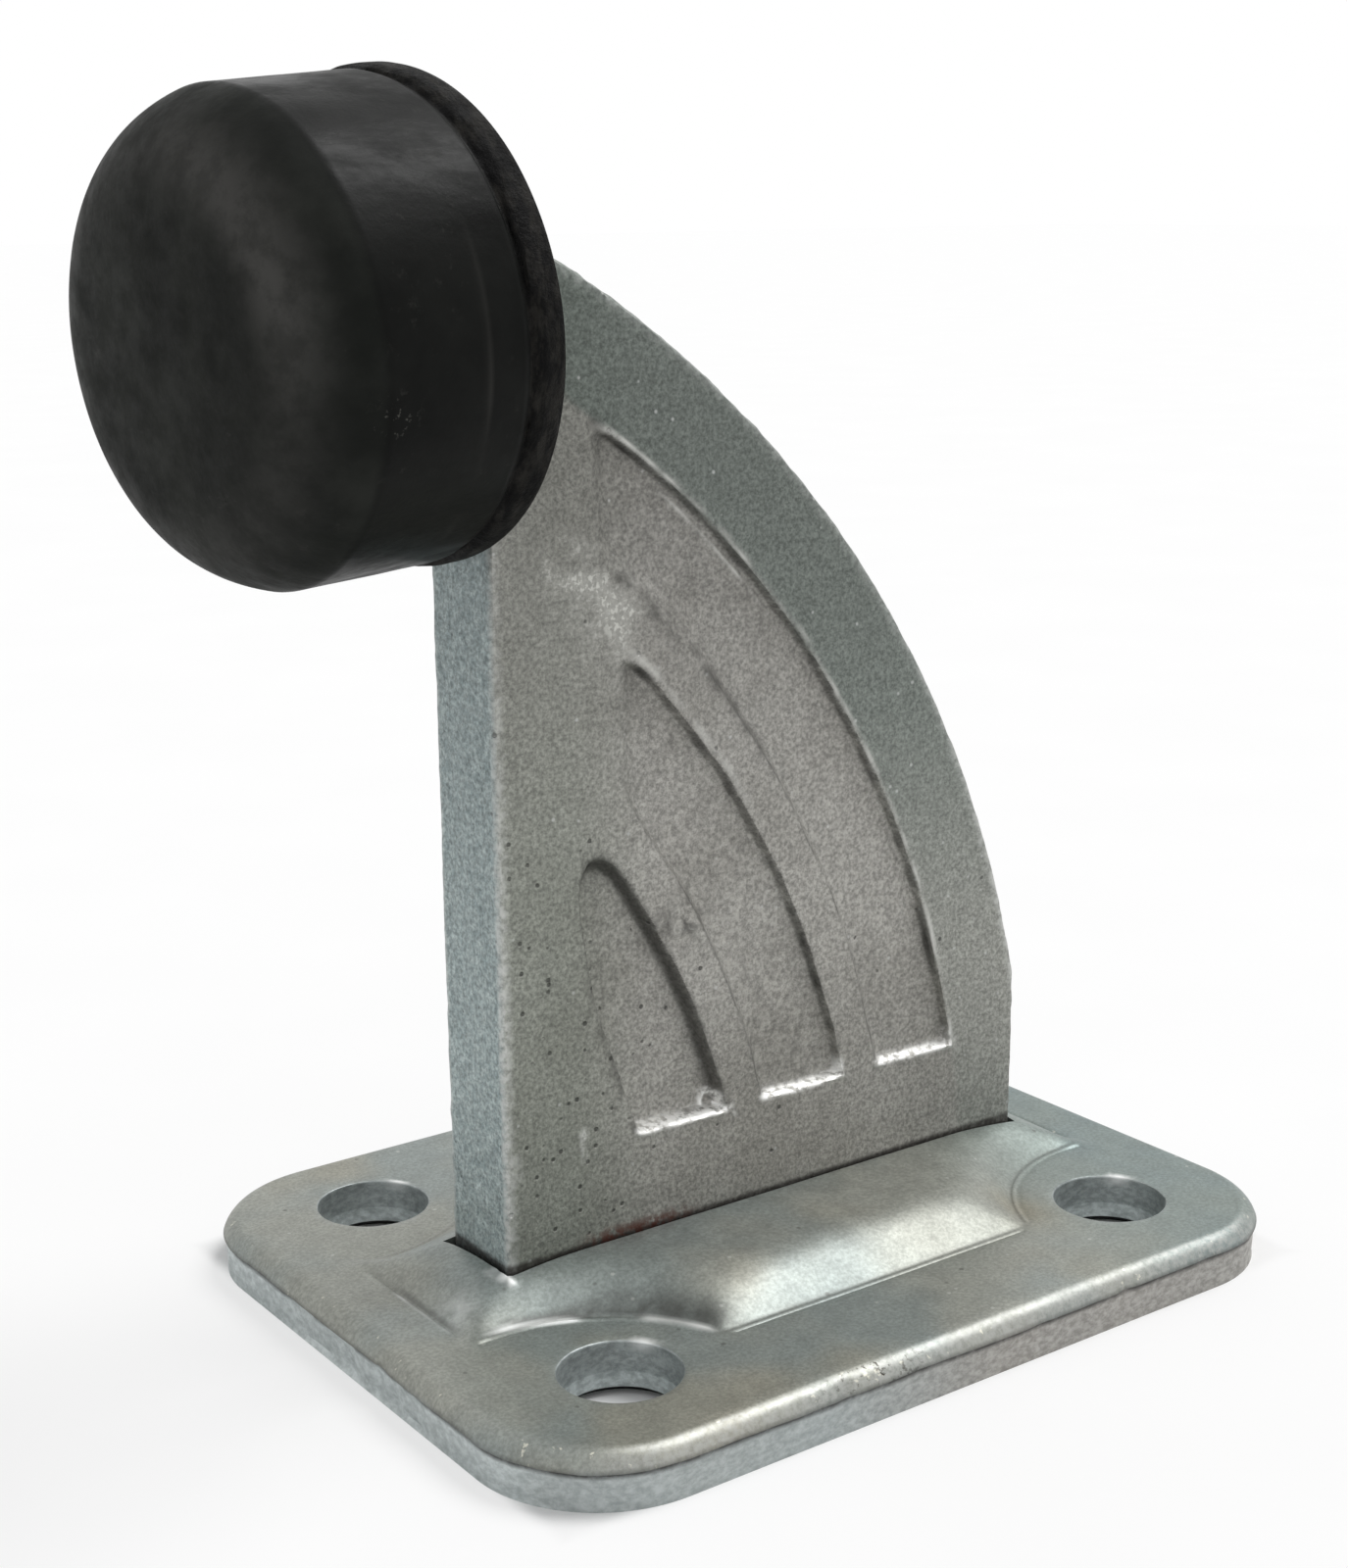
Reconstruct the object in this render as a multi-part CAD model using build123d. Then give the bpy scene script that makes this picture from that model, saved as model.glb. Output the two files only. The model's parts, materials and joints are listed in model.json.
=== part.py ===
from build123d import *
import math
import os

os.makedirs("parts", exist_ok=True)

# Floor-mounted door stop. Millimetres, +Z up, the origin at the centre of the plate's underside.
# The buffer faces -X, the long side of the plate runs along X.

# Base plate: sheared sheet with rolled top edges and a pressed-up plinth
plate_length = 90.2
plate_width = 70.5
plate_thickness = 5.2
plate_corner = 13.0
sheared_height = 3.5
sheared_step = 0.15
rolled_radius = 1.5
bolt_spacing_x = 60.0
bolt_spacing_y = 44.0
bolt_hole = 11.0
hole_land = 1.8
hole_widening = 0.35

# Plinth: raised middle of the plate, cut back in wide scallops to leave room around the bolts
plinth_length = 75.6
plinth_width = 43.4
plinth_rise = 3.0
plinth_slope = 5.0
shoulder_radius = 6.0
scallop_radius = 17.5
scallop_shift = 5.35
sheet_inset = 1.3

# Upright web: a plate with an arched back standing in a slot of the plinth
web_thickness = 10.0
web_front = -30.7
web_back = 32.6
web_height = 102.8
web_back_height = 24.2
arch_radius = 113.5
web_edge_chamfer = 0.4
web_top_corner = 3.0
web_foot_height = 0.8
slot_clearance = 0.3

# Relief on both faces of the web: arched grooves that follow the back
groove_count = 3
groove_width = 10.0
groove_rib = 4.25
groove_rim = 10.0
groove_depth = 1.0
inner_groove_depth = 1.7
groove_draft = 12.0
groove_corner = 3.0
groove_bottom = 18.0
groove_front_margin = 8.6

# Weld around the foot of the web, inside the hollow under the plinth
weld_leg = 1.9

# Rubber buffer: turned shape on its own axis, slightly askew on the web
axis_drop = 8.3
buffer_droop = 4.5
buffer_turn = 7.5
buffer_gap = 4.8
lip_radius = 20.6
lip_thickness = 3.0
lip_groove = 0.7
body_radius_rear = 20.2
body_radius_front = 19.9
body_length = 16.5
nose_length = 7.5
nose_face_radius = 9.0
nose_bevels = 4

# Stud that carries the buffer: head bonded into the rubber, collar against the web, threaded end in the web
stud_diameter = 6.0
stud_thread_length = 6.0
stud_bore_spare = 0.5
stud_collar = 9.0
stud_head = 26.0
stud_head_thickness = 2.5
stud_head_depth = 4.0

upward = (Align.CENTER, Align.CENTER, Align.MIN)
downward = (Align.CENTER, Align.CENTER, Align.MAX)
bolt_places = [(x * bolt_spacing_x / 2, y * bolt_spacing_y / 2) for x in (-1, 1) for y in (-1, 1)]
plinth_top = plate_thickness + plinth_rise
web_middle = (web_front + web_back) / 2
web_length = web_back - web_front
axis_height = web_height - axis_drop
buffer_axis = Plane(
    origin=(web_front, 0, axis_height),
    x_dir=Vector(0, 0, 1),
    z_dir=Vector(-1, 0, 0).rotate(Axis.Z, buffer_turn).rotate(Axis.Y, -buffer_droop),
)


def plate_outline(inset):
    return RectangleRounded(plate_length - 2 * inset, plate_width - 2 * inset, plate_corner - inset)


def scallop_centre(x, y):
    """A scallop's centre lies beyond its bolt, towards the corner of the plate."""
    return x + math.copysign(scallop_shift, x), y + math.copysign(scallop_shift, y)


def plinth_outline(inset):
    scallops = [Pos(scallop_centre(x, y)) * Circle(scallop_radius + inset) for x, y in bolt_places]
    return Rectangle(plinth_length - 2 * inset, plinth_width - 2 * inset) - scallops


def raised_block(inset, bottom, top):
    """The plinth's sloping form between two heights, pulled in by an inset."""
    foot = Pos(0, 0, bottom) * plinth_outline(inset)
    crown = Pos(0, 0, top) * plinth_outline(inset + plinth_slope)
    return loft([foot, crown], ruled=True)


def rolled_edge():
    """The upper part of the plate, whose sheared edge rolls over to the top in two bevels."""
    roll_start = plate_thickness - rolled_radius
    knuckle = rolled_radius * math.sqrt(0.5)
    levels = [
        (0, sheared_height),
        (0, roll_start),
        (rolled_radius - knuckle, roll_start + knuckle),
        (rolled_radius, plate_thickness),
    ]
    return loft([Pos(0, 0, height) * plate_outline(inset) for inset, height in levels], ruled=True)


def bolt_cut():
    """A punched hole: a land of the bolt size at the bottom, wider above."""
    land = Cylinder(bolt_hole / 2, plate_thickness, align=upward)
    widened = Pos(0, 0, hole_land) * Cylinder(bolt_hole / 2 + hole_widening, plate_thickness, align=upward)
    return land + widened


def make_base_plate():
    lower = extrude(plate_outline(sheared_step), amount=sheared_height)
    plinth = raised_block(0, plate_thickness, plinth_top)
    plinth = fillet(plinth.faces().sort_by(Axis.Z)[-1].edges(), shoulder_radius)
    plate = lower + rolled_edge() + plinth
    plate -= raised_block(sheet_inset, 0, plinth_rise)
    slot = Box(web_length + 2 * slot_clearance, web_thickness + 2 * slot_clearance, 2 * plinth_top)
    plate -= Pos(web_middle, 0, 0) * slot
    return plate - [Pos(x, y) * bolt_cut() for x, y in bolt_places]


def arch_direction():
    """The direction from the centre of the arch to its middle, square to its chord."""
    return Vector(web_height - web_back_height, web_back - web_front).normalized()


def arch_centre():
    front_top = Vector(web_front, web_height)
    back_top = Vector(web_back, web_back_height)
    half_chord = (back_top - front_top).length / 2
    return (front_top + back_top) / 2 - arch_direction() * math.sqrt(arch_radius ** 2 - half_chord ** 2)


def groove_outline(index):
    """One groove: a band along the arch, ended by the front margin and by the level bottom."""
    outer = arch_radius - groove_rim - index * (groove_width + groove_rib)
    band = Pos(arch_centre()) * (Circle(outer) - Circle(outer - groove_width))
    left = web_front + groove_front_margin
    window = Pos(left, groove_bottom) * Rectangle(arch_radius, arch_radius, align=(Align.MIN, Align.MIN))
    shape = band & window
    upper_corners = shape.vertices().filter_by(lambda vertex: vertex.Y > groove_bottom + groove_corner)
    return fillet(upper_corners, groove_corner)


def make_web_plate():
    front_top = (web_front, web_height)
    back_top = (web_back, web_back_height)
    arch_middle = arch_centre() + arch_direction() * arch_radius
    outline = make_face(
        Polyline(front_top, (web_front, web_foot_height), (web_back, web_foot_height), back_top)
        + ThreePointArc(back_top, arch_middle, front_top)
    )
    top_corner = outline.vertices().sort_by(Axis.Y)[-1]
    outline = fillet(top_corner, web_top_corner)
    web = extrude(Plane.XZ * outline, amount=web_thickness / 2, both=True)
    sides = web.faces().sort_by(Axis.Y)
    web = chamfer(sides[0].edges() + sides[-1].edges(), web_edge_chamfer)
    near_face = Plane(origin=(0, -web_thickness / 2, 0), x_dir=(1, 0, 0), z_dir=(0, -1, 0))
    for index in range(groove_count):
        depth = inner_groove_depth if index == groove_count - 1 else groove_depth
        groove = extrude(near_face * groove_outline(index), amount=-depth, taper=groove_draft)
        web -= groove
        web -= mirror(groove, about=Plane.XZ)
    bore_length = stud_thread_length + stud_bore_spare + buffer_gap
    bore = Cylinder(stud_diameter / 2, bore_length, align=downward)
    return web - buffer_axis * Pos(0, 0, buffer_gap) * bore


def make_foot_weld(plate):
    top_outline = Rectangle(web_length + 2 * weld_leg, web_thickness + 2 * weld_leg)
    top = Pos(web_middle, 0, plinth_rise) * top_outline
    tip = Pos(web_middle, 0, plinth_rise - weld_leg) * Rectangle(web_length, web_thickness)
    bead = loft([tip, top], ruled=True)
    web_section = Pos(web_middle, 0, 0) * Box(web_length, web_thickness, 2 * plinth_top)
    return bead - web_section - plate


def make_buffer_stud():
    head_start = buffer_gap + stud_head_depth
    head = Pos(0, 0, head_start) * Cylinder(stud_head / 2, stud_head_thickness, align=upward)
    collar = Pos(0, 0, -buffer_gap) * Cylinder(stud_collar / 2, buffer_gap + head_start, align=upward)
    behind_front = Box(web_length, web_length, web_length, align=(Align.MIN, Align.CENTER, Align.CENTER))
    stud = buffer_axis * (head + collar) - Pos(web_front, 0, axis_height) * behind_front
    thread = Cylinder(stud_diameter / 2, stud_thread_length + buffer_gap, align=downward)
    return stud + buffer_axis * Pos(0, 0, buffer_gap) * thread


def nose_points():
    """The buffer's nose in profile: its round edge, turned in short bevels, and its flat face."""
    tip = body_length + nose_length
    crease = (body_radius_front, body_length)
    round_edge = TangentArc((nose_face_radius, tip), crease, tangent=(1, 0))
    return [round_edge @ (1 - step / nose_bevels) for step in range(nose_bevels + 1)] + [(0, tip)]


def make_rubber_buffer(stud):
    outline = [
        (0, 0),
        (lip_radius, 0),
        (lip_radius, lip_thickness),
        (body_radius_rear - lip_groove, lip_thickness),
        (body_radius_rear, lip_thickness + lip_groove),
    ]
    profile = make_face(Polyline(outline + nose_points(), close=True))
    turned = revolve(Plane.XZ * profile, axis=Axis.Z)
    return buffer_axis * Pos(0, 0, buffer_gap) * turned - stud


base_plate = make_base_plate()
buffer_stud = make_buffer_stud()
export_step(base_plate, "parts/base_plate.step")
export_step(make_web_plate(), "parts/web_plate.step")
export_step(make_foot_weld(base_plate), "parts/foot_weld.step")
export_step(buffer_stud, "parts/buffer_stud.step")
export_step(make_rubber_buffer(buffer_stud), "parts/rubber_buffer.step")
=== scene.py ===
import itertools
import json
import math

import bpy
import numpy as np
from mathutils import Matrix, Vector
from mathutils.geometry import delaunay_2d_cdt


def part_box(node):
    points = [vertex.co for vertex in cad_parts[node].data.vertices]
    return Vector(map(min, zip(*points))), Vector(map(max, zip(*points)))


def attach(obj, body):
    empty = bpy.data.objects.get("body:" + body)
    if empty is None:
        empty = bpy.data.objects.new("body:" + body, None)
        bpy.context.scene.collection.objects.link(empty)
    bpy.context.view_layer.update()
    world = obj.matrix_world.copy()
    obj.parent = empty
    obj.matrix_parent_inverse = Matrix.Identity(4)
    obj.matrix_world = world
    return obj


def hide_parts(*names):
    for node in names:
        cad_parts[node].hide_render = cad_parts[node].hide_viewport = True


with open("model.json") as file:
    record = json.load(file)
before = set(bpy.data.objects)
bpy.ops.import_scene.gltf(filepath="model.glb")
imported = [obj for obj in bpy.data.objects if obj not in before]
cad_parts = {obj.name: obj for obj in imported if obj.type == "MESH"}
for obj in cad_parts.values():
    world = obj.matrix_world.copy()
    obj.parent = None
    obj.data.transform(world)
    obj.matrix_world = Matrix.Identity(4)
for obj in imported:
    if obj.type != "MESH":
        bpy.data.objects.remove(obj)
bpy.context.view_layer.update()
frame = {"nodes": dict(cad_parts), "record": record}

# Sizes are in millimetres and become metres where a mesh is made. +Z is up and the buffer faces -X.
MM = 0.001


def box_mm(node):
    low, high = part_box(node)
    return np.array(low) / MM, np.array(high) / MM


def mount_sizes(name):
    return next(mount["dims"] for mount in frame["record"]["mounts"] if mount["name"] == name)


plate_low, plate_high = box_mm("base_plate")
web_low, web_high = box_mm("web_plate")
bolts = mount_sizes("floor_bolts")

# Base plate
plate_length = plate_high[0] - plate_low[0]
plate_width = plate_high[1] - plate_low[1]
plate_thickness = 5.2
plate_corner = 13.0
sheared_height = 3.5
sheared_step = 0.15
rolled_width = 1.75
bottom_break = 0.3
bolt_x = bolts["spacing_x_mm"] / 2
bolt_y = bolts["spacing_y_mm"] / 2
bolt_radius = bolts["hole_r_mm"]
hole_land = 2.35
hole_widening = 0.05
hole_rim = 0.14
hole_break = 0.85
hole_breakout = 0.9
land_radius = bolt_radius - 0.15
upper_radius = bolt_radius + hole_widening
under_radius = bolt_radius + hole_breakout

# Plinth pressed up in the middle of the plate
plinth_length = 75.6
plinth_width = 43.4
plinth_rise = plate_high[2] - plate_thickness
plinth_slope = 5.0
plinth_shoulder = 2.2
plinth_toe = 0.12
hollow_toe = 0.8
corner_toe = 1.6
scallop_radius = 17.5
scallop_shift = 5.35
sheet_inset = 1.3
ridge_sharpness = 4.0
ridge_round = 1.4

# Upright web
web_front = web_low[0]
web_back = web_high[0]
web_foot = web_low[2]
web_half = (web_high[1] - web_low[1]) / 2
web_height = 102.8
web_back_height = 24.2
arch_radius = 113.5
web_top_corner = 3.0
web_chamfer = 0.4
slot_clearance = 0.3
slot_tear = 0.6
groove_count = 3
groove_width = 10.0
groove_rib = 4.25
groove_rim = 10.0
groove_depths = (0.9, 1.0, 1.7)
groove_wall_widths = (0.5, 0.45, 0.9)
groove_bottom = 18.0
groove_front_margin = 8.6
groove_corners = (5.0, 9.0, 5.0)

# Rubber buffer, turned about its own axis
axis_height = web_height - 8.3
buffer_droop = 4.5
buffer_turn = 7.5
buffer_gap = 4.8
lip_radius = 20.6
lip_thickness = 3.0
body_radius_rear = 20.2
body_radius_front = 19.9
body_length = 16.5
nose_length = 7.7
nose_face_radius = 11.4
nose_face_rise = 0.6
nose_edge_bulge = 6.5
scuff_place, scuff_reach = (-19.2, 4.8, 16.0), (1.3, 1.2, 1.3)

# Stud between web and buffer: its collar and head in the rubber, its bore in the web
stud_collar_radius = 4.5
stud_head_radius = 13.0
stud_head_depth = 4.0
stud_head_thickness = 2.5
bore_radius = 3.0
bore_depth = 6.5
mouth_depth = 0.1

# Fineness of the meshes' rings
hole_segments = 120
buffer_segments = 240
web_edge_rings = 20

bolt_places = [(x * bolt_x, y * bolt_y) for x in (-1, 1) for y in (-1, 1)]
scallop_x = bolt_x + scallop_shift
scallop_y = bolt_y + scallop_shift


# Noise and mesh helpers

def noise(points, size, seed):
    """Smooth noise from -1 to 1 with bumps of about the given size, the same on every run."""
    grid = np.asarray(points, float) / size + 19.7 * seed
    cell = np.floor(grid).astype(np.int64)
    part = grid - cell
    part = part * part * (3 - 2 * part)
    total = np.zeros(len(grid))
    for corner in itertools.product((0, 1), repeat=3):
        key = (cell + corner) @ np.array([374761393, 668265263, 1274126177]) + seed * 144269
        key = (key ^ (key >> 13)) * 1103515245
        key = key ^ (key >> 16)
        weight = np.prod(np.where(corner, part, 1 - part), axis=1)
        total += weight * ((key & 65535) / 32767.5 - 1)
    return total


def ramp(value, start, end):
    """0 before start, 1 after end, with a smooth change between them."""
    part = np.clip((value - start) / (end - start), 0, 1)
    return part * part * (3 - 2 * part)


def ridge(value, width):
    """A bell-shaped line of the given half width around zero."""
    return np.exp(-(value / width) ** 2)


def between(value, start, full, fade, end):
    """Rises from 0 at start to 1 at full, and falls back from 1 at fade to 0 at end."""
    return ramp(value, start, full) * ramp(value, end, fade)


def layered(points, *layers):
    """A sum of noises, each given by its amount, size and seed."""
    return sum(amount * noise(points, size, seed) for amount, size, seed in layers)


def blotches(points, middle, size, seed):
    """Irregular patches from 0 to 1. A higher middle makes them wider."""
    return np.clip(middle + noise(points, size, seed), 0, 1)


def patch(flat, place, reach):
    """A soft round mark that fades out from its middle."""
    return np.exp(-((flat - place) ** 2 / np.array(reach) ** 2).sum(axis=1))


def rounded_least(first, second, radius):
    """The lesser of two distances inside an outline, with the corner between its two edges rounded."""
    return radius - np.hypot(np.clip(radius - first, 0, None), np.clip(radius - second, 0, None))


def staggered(low, high, step):
    """Points of a staggered grid between two corners."""
    rows = []
    for number, y in enumerate(np.arange(low[1], high[1], step * math.sqrt(0.75))):
        x = np.arange(low[0] + (number % 2) * step / 2, high[0], step)
        rows.append(np.stack([x, np.full_like(x, y)], 1))
    return np.vstack(rows)


def spaced(start, end, step):
    """Points on a straight line, without its last one."""
    start, end = np.array(start, float), np.array(end, float)
    count = max(1, round(np.linalg.norm(end - start) / step))
    return start + (end - start) * np.arange(count)[:, None] / count


def arc(centre, radius, start, end, step):
    """Points on an arc between two angles in radians, without its last one."""
    count = max(2, round(abs(end - start) * radius / step))
    angles = start + (end - start) * np.arange(count) / count
    return np.array(centre) + radius * np.stack([np.cos(angles), np.sin(angles)], 1)


def bezier(points, count):
    """Points on a cubic curve."""
    t = np.linspace(0, 1, count)[:, None]
    a, b, c, d = (np.array(point, float) for point in points)
    return (1 - t) ** 3 * a + 3 * t * (1 - t) ** 2 * b + 3 * t * t * (1 - t) * c + t ** 3 * d


def circle_loop(centre, radius):
    """Points around a circle, the same number for every radius."""
    return arc(centre, radius, 0, 2 * math.pi, 2 * math.pi * radius / hole_segments)


def lift(flat, height):
    """Points in the XY plane with a height, one number or one for each point."""
    return np.column_stack([flat, np.broadcast_to(height, len(flat))])


def upright(flat, across):
    """Points in the XZ plane with a place along Y, one number or one for each point."""
    return np.column_stack([flat[:, 0], np.broadcast_to(across, len(flat)), flat[:, 1]])


class Shell:
    """Points and faces of one closed mesh."""

    def __init__(self):
        self.points = np.zeros((0, 3))
        self.faces = []

    def add(self, points):
        start = len(self.points)
        self.points = np.vstack([self.points, points])
        return np.arange(start, start + len(points))

    def strip(self, first, second):
        """Joins two closed loops of equal length with quads."""
        self.faces += zip(first, np.roll(first, -1), np.roll(second, -1), second)

    def bridge(self, first, rings, last, flip=False):
        """Joins two closed loops by way of rings of new points between them."""
        loops = [first, *(self.add(ring) for ring in rings), last]
        for near, far in zip(loops, loops[1:]):
            self.strip(*((near, far) if flip else (far, near)))

    def fan(self, middle, loop):
        """Joins a closed loop to one point."""
        self.faces += ((middle, a, b) for a, b in zip(loop, np.roll(loop, -1)))

    def sheet(self, loops, inner, place, flip, keep=None):
        """Fills the flat region in closed loops, lifts it by place() and returns the loops' point numbers."""
        flat = np.vstack([*loops, inner])
        edges = []
        starts = np.cumsum([0] + [len(loop) for loop in loops])
        for start, end in zip(starts, starts[1:]):
            numbers = np.arange(start, end)
            edges += zip(numbers.tolist(), np.roll(numbers, -1).tolist())
        inside_only, tolerance = 1, 1e-7
        result = delaunay_2d_cdt([Vector(point) for point in flat], edges, [], inside_only, tolerance)
        found = np.array([tuple(point) for point in result[0]])
        triangles = np.array(result[2])
        if keep:
            triangles = triangles[keep(found[triangles].mean(axis=1))]
        numbers = self.add(place(found))
        self.faces += map(tuple, numbers[triangles[:, ::-1] if flip else triangles])
        of_input = np.zeros(len(flat), int)
        for number, inputs in zip(numbers, result[3]):
            of_input[inputs] = number
        return [of_input[start:end] for start, end in zip(starts, starts[1:])]


def make_piece(name, shell, node, material, marks, sharp_angle=50):
    """Makes a mesh that stands for a CAD node. Its material reads the marks, a number for each point."""
    mesh = bpy.data.meshes.new(name)
    mesh.from_pydata((shell.points * MM).tolist(), [], [[int(i) for i in face] for face in shell.faces])
    for mark, values in marks.items():
        mesh.attributes.new(mark, "FLOAT", "POINT").data.foreach_set("value", np.asarray(values, np.float32))
    mesh.shade_smooth()
    mesh.set_sharp_from_angle(angle=math.radians(sharp_angle))
    mesh.materials.append(material)
    piece = bpy.data.objects.new(name, mesh)
    bpy.context.scene.collection.objects.link(piece)
    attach(piece, "root")
    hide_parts(node)


# Base plate

def plate_loop(inset, step=0.5):
    """The plate's rounded outline, pulled in by an inset. Every inset gives the same number of points."""
    half = np.array([plate_length / 2, plate_width / 2]) - plate_corner
    turns = int(plate_corner * math.pi / 2 / step)
    points = []
    for quarter, (sx, sy) in enumerate(((1, 1), (-1, 1), (-1, -1), (1, -1))):
        centre = half * (sx, sy)
        angles = (quarter + np.arange(turns + 1) / turns) * math.pi / 2
        points.append(centre + (plate_corner - inset) * np.stack([np.cos(angles), np.sin(angles)], 1))
    closed = points + points[:1]
    loop = []
    for bend, following in zip(closed, closed[1:]):
        run = half[0] if abs(bend[-1][1] - following[0][1]) < 1e-6 else half[1]
        count = int(2 * run / step)
        straight = bend[-1] + (following[0] - bend[-1]) * np.arange(1, count)[:, None] / count
        loop += [bend, straight]
    return np.vstack(loop)


def slot_loop(clearance, step=0.6):
    """The slot around the foot of the web. Its far front corner is torn a little wider than the rest."""
    left, right = web_front - clearance, web_back + clearance
    side = web_half + clearance
    corners = [(left, -side), (right, -side), (right, side), (left - slot_tear, side)]
    return np.vstack([spaced(a, b, step) for a, b in zip(corners, corners[1:] + corners[:1])])


def plinth_sides(flat):
    """Distances inside the plinth's foot line from its ends, its long sides and its scallops."""
    x, y = np.abs(flat[:, 0]), np.abs(flat[:, 1])
    scallop = np.hypot(x - scallop_x, y - scallop_y) - scallop_radius
    return plinth_length / 2 - x, plinth_width / 2 - y, scallop


def sharp_reach(flat):
    """How far a place lies inside the plinth's foot line; negative outside it."""
    return np.minimum.reduce(plinth_sides(flat))


def plinth_reach(flat):
    """Like sharp_reach, with the ridges and corners between the slopes rounded."""
    total = sum(np.clip(side + ridge_round, 0.05, None) ** -ridge_sharpness for side in plinth_sides(flat))
    return total ** (-1 / ridge_sharpness) - ridge_round


def plinth_height(reach, toe):
    """Height of the plinth above the plate, with a rounded shoulder and a toe of its own at each place."""
    slope = plinth_rise / plinth_slope
    start, end = plinth_slope - plinth_shoulder, plinth_slope + plinth_shoulder
    crown = plinth_rise - slope * (end - reach) ** 2 / (4 * plinth_shoulder)
    foot = slope * (reach + toe) ** 2 / (4 * toe)
    height = np.where(reach < start, slope * reach, np.where(reach < end, crown, plinth_rise))
    return np.where(reach > toe, height, np.where(reach > -toe, foot, 0))


def foot_rows(offsets, step=0.35):
    """Rows of points along the plinth's foot line, at distances outside it."""
    edge_x = scallop_x - math.sqrt(scallop_radius ** 2 - (scallop_y - plinth_width / 2) ** 2)
    edge_y = scallop_y - math.sqrt(scallop_radius ** 2 - (scallop_x - plinth_length / 2) ** 2)
    angle_x = math.atan2(scallop_y - plinth_width / 2, scallop_x - edge_x)
    angle_y = math.atan2(scallop_y - edge_y, scallop_x - plinth_length / 2)
    rows = []
    for offset in offsets:
        long_y = plinth_width / 2 + offset
        short_x = plinth_length / 2 + offset
        for sign in (-1, 1):
            rows.append(spaced((-edge_x, sign * long_y), (edge_x, sign * long_y), step))
            rows.append(spaced((sign * short_x, -edge_y), (sign * short_x, edge_y), step))
        for sx, sy in itertools.product((-1, 1), repeat=2):
            bend = arc((0, 0), scallop_radius - offset, angle_x, angle_y, step)
            rows.append((np.array([scallop_x, scallop_y]) - bend) * (sx, sy))
    return np.vstack(rows)


# Marks on the plate's top: plating drips before the web, a painted highlight on the left slope, a warm stain,
# painted glints on the hole rims
drip_places = [(web_front - 0.9, -3.6), (web_front - 0.65, -4.9), (web_front - 0.3, -5.7)]
left_slope_highlight_place = (-36.3, -5.0)
warm_place = (21.0, -18.8)
rim_glint = math.radians(34)
# Press marks around the front near scallop, as angles in degrees and distances inside its foot line: raised
# lines that get a painted highlight, and a dark line of smudge and painted shade
press_highlight_strokes = [(96, 60, 0.35, -0.40), (47, 19, -0.15, -0.10)]
dark_stroke = (88, 57, 0.85, -0.05)
# The plinth's left end shows a crisp foot line between two places along Y
end_line = (-7.2, 2.5)
# Distances outside the plinth's foot line where the top's mesh has rows of points
foot_offsets = (1.0, 0.75, 0.55, 0.38, 0.18, 0.0, -0.22, -0.5)
# Reach of the soft corners between the plinth's ends and its scallops
corner_reach = 2.2


def hole_distance(flat):
    """Distance from the nearest bolt hole's centre."""
    return np.hypot(np.abs(flat[:, 0]) - bolt_x, np.abs(flat[:, 1]) - bolt_y)


def stroke(flat, start, end, first_gap, last_gap, width):
    """A line along the front near scallop, from one angle and distance to another, with faded ends."""
    out = flat + (scallop_x, scallop_y)
    part = (np.degrees(np.arctan2(out[:, 1], out[:, 0])) - start) / (end - start)
    gap = np.hypot(*out.T) - scallop_radius - first_gap - (last_gap - first_gap) * part
    return ridge(gap, width) * between(part, 0, 0.2, 0.8, 1)


def left_end(flat, offset, width):
    """A line along the foot of the plinth's left end, at a distance inside it."""
    start, end = end_line
    along = between(flat[:, 1], start - 1, start + 1, end - 1, end + 1)
    return ridge(flat[:, 0] + plinth_length / 2 - offset, width) * along


def press_lines(flat, reach):
    """Height of the lines that the press left along the plinth's foot and around the scallops."""
    end, side, scallop = plinth_sides(flat)
    long_foot = ramp(side, 1.2, 0.6) * ramp(scallop, 0.2, 0.9)
    short_foot = ramp(end, 1.2, 0.6) * ramp(scallop, 1.0, 2.5)
    round_foot = ramp(scallop, 1.2, 0.6) * ramp(np.minimum(end, side), 0.2, 0.9)
    ring = ridge(hole_distance(flat) - 9.4, 0.25) * between(scallop, -3.5, -2.0, -1.2, -0.7)
    height = -0.12 * ridge(reach + 0.6, 0.16) * long_foot - 0.12 * ridge(reach + 0.2, 0.18) * short_foot
    height += (0.09 * ridge(reach + 0.3, 0.18) - 0.07 * ridge(reach + 0.75, 0.2)) * round_foot - 0.05 * ring
    return height + 0.10 * sum(stroke(flat, *values, 0.25) for values in press_highlight_strokes)


def plate_surface(flat):
    """The height of the plate's top, with press lines, plating drips and slight waves."""
    reach = plinth_reach(flat)
    end, _, scallop = plinth_sides(flat)
    toe = plinth_toe + corner_toe * ridge(np.hypot(end, scallop), corner_reach)
    height = plate_thickness + plinth_height(reach, toe) + press_lines(flat, reach)
    height += 0.3 * sum(patch(flat, place, (0.45, 0.5)) for place in drip_places)
    return height + layered(lift(flat, 0), (0.04, 14, 3), (0.006, 3.5, 4))


def outside_cuts(flat, radius):
    """True for places clear of the bolt holes and of the slot."""
    x, y = flat.T
    side = web_half + slot_clearance
    left = web_front - slot_clearance - slot_tear / 2 * (1 + y / side)
    slot = (np.abs(y) < side) & (x > left) & (x < web_back + slot_clearance)
    return (hole_distance(flat) > radius) & ~slot


def clear_grid(step, margin, radius):
    """Grid points on the plate, clear of its edge and cuts."""
    grid = staggered(plate_low[:2], plate_high[:2], step)
    half = np.array([plate_length / 2, plate_width / 2]) - plate_corner
    inside = np.hypot(*np.clip(np.abs(grid) - half, 0, None).T) < plate_corner - margin
    x, y = grid.T
    beside_slot = np.abs(y) > web_half + slot_clearance + 0.3
    before_slot = x < web_front - slot_clearance - slot_tear - 0.4
    behind_slot = x > web_back + slot_clearance + 0.3
    return grid[inside & (hole_distance(grid) > radius) & (beside_slot | before_slot | behind_slot)]


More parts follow.
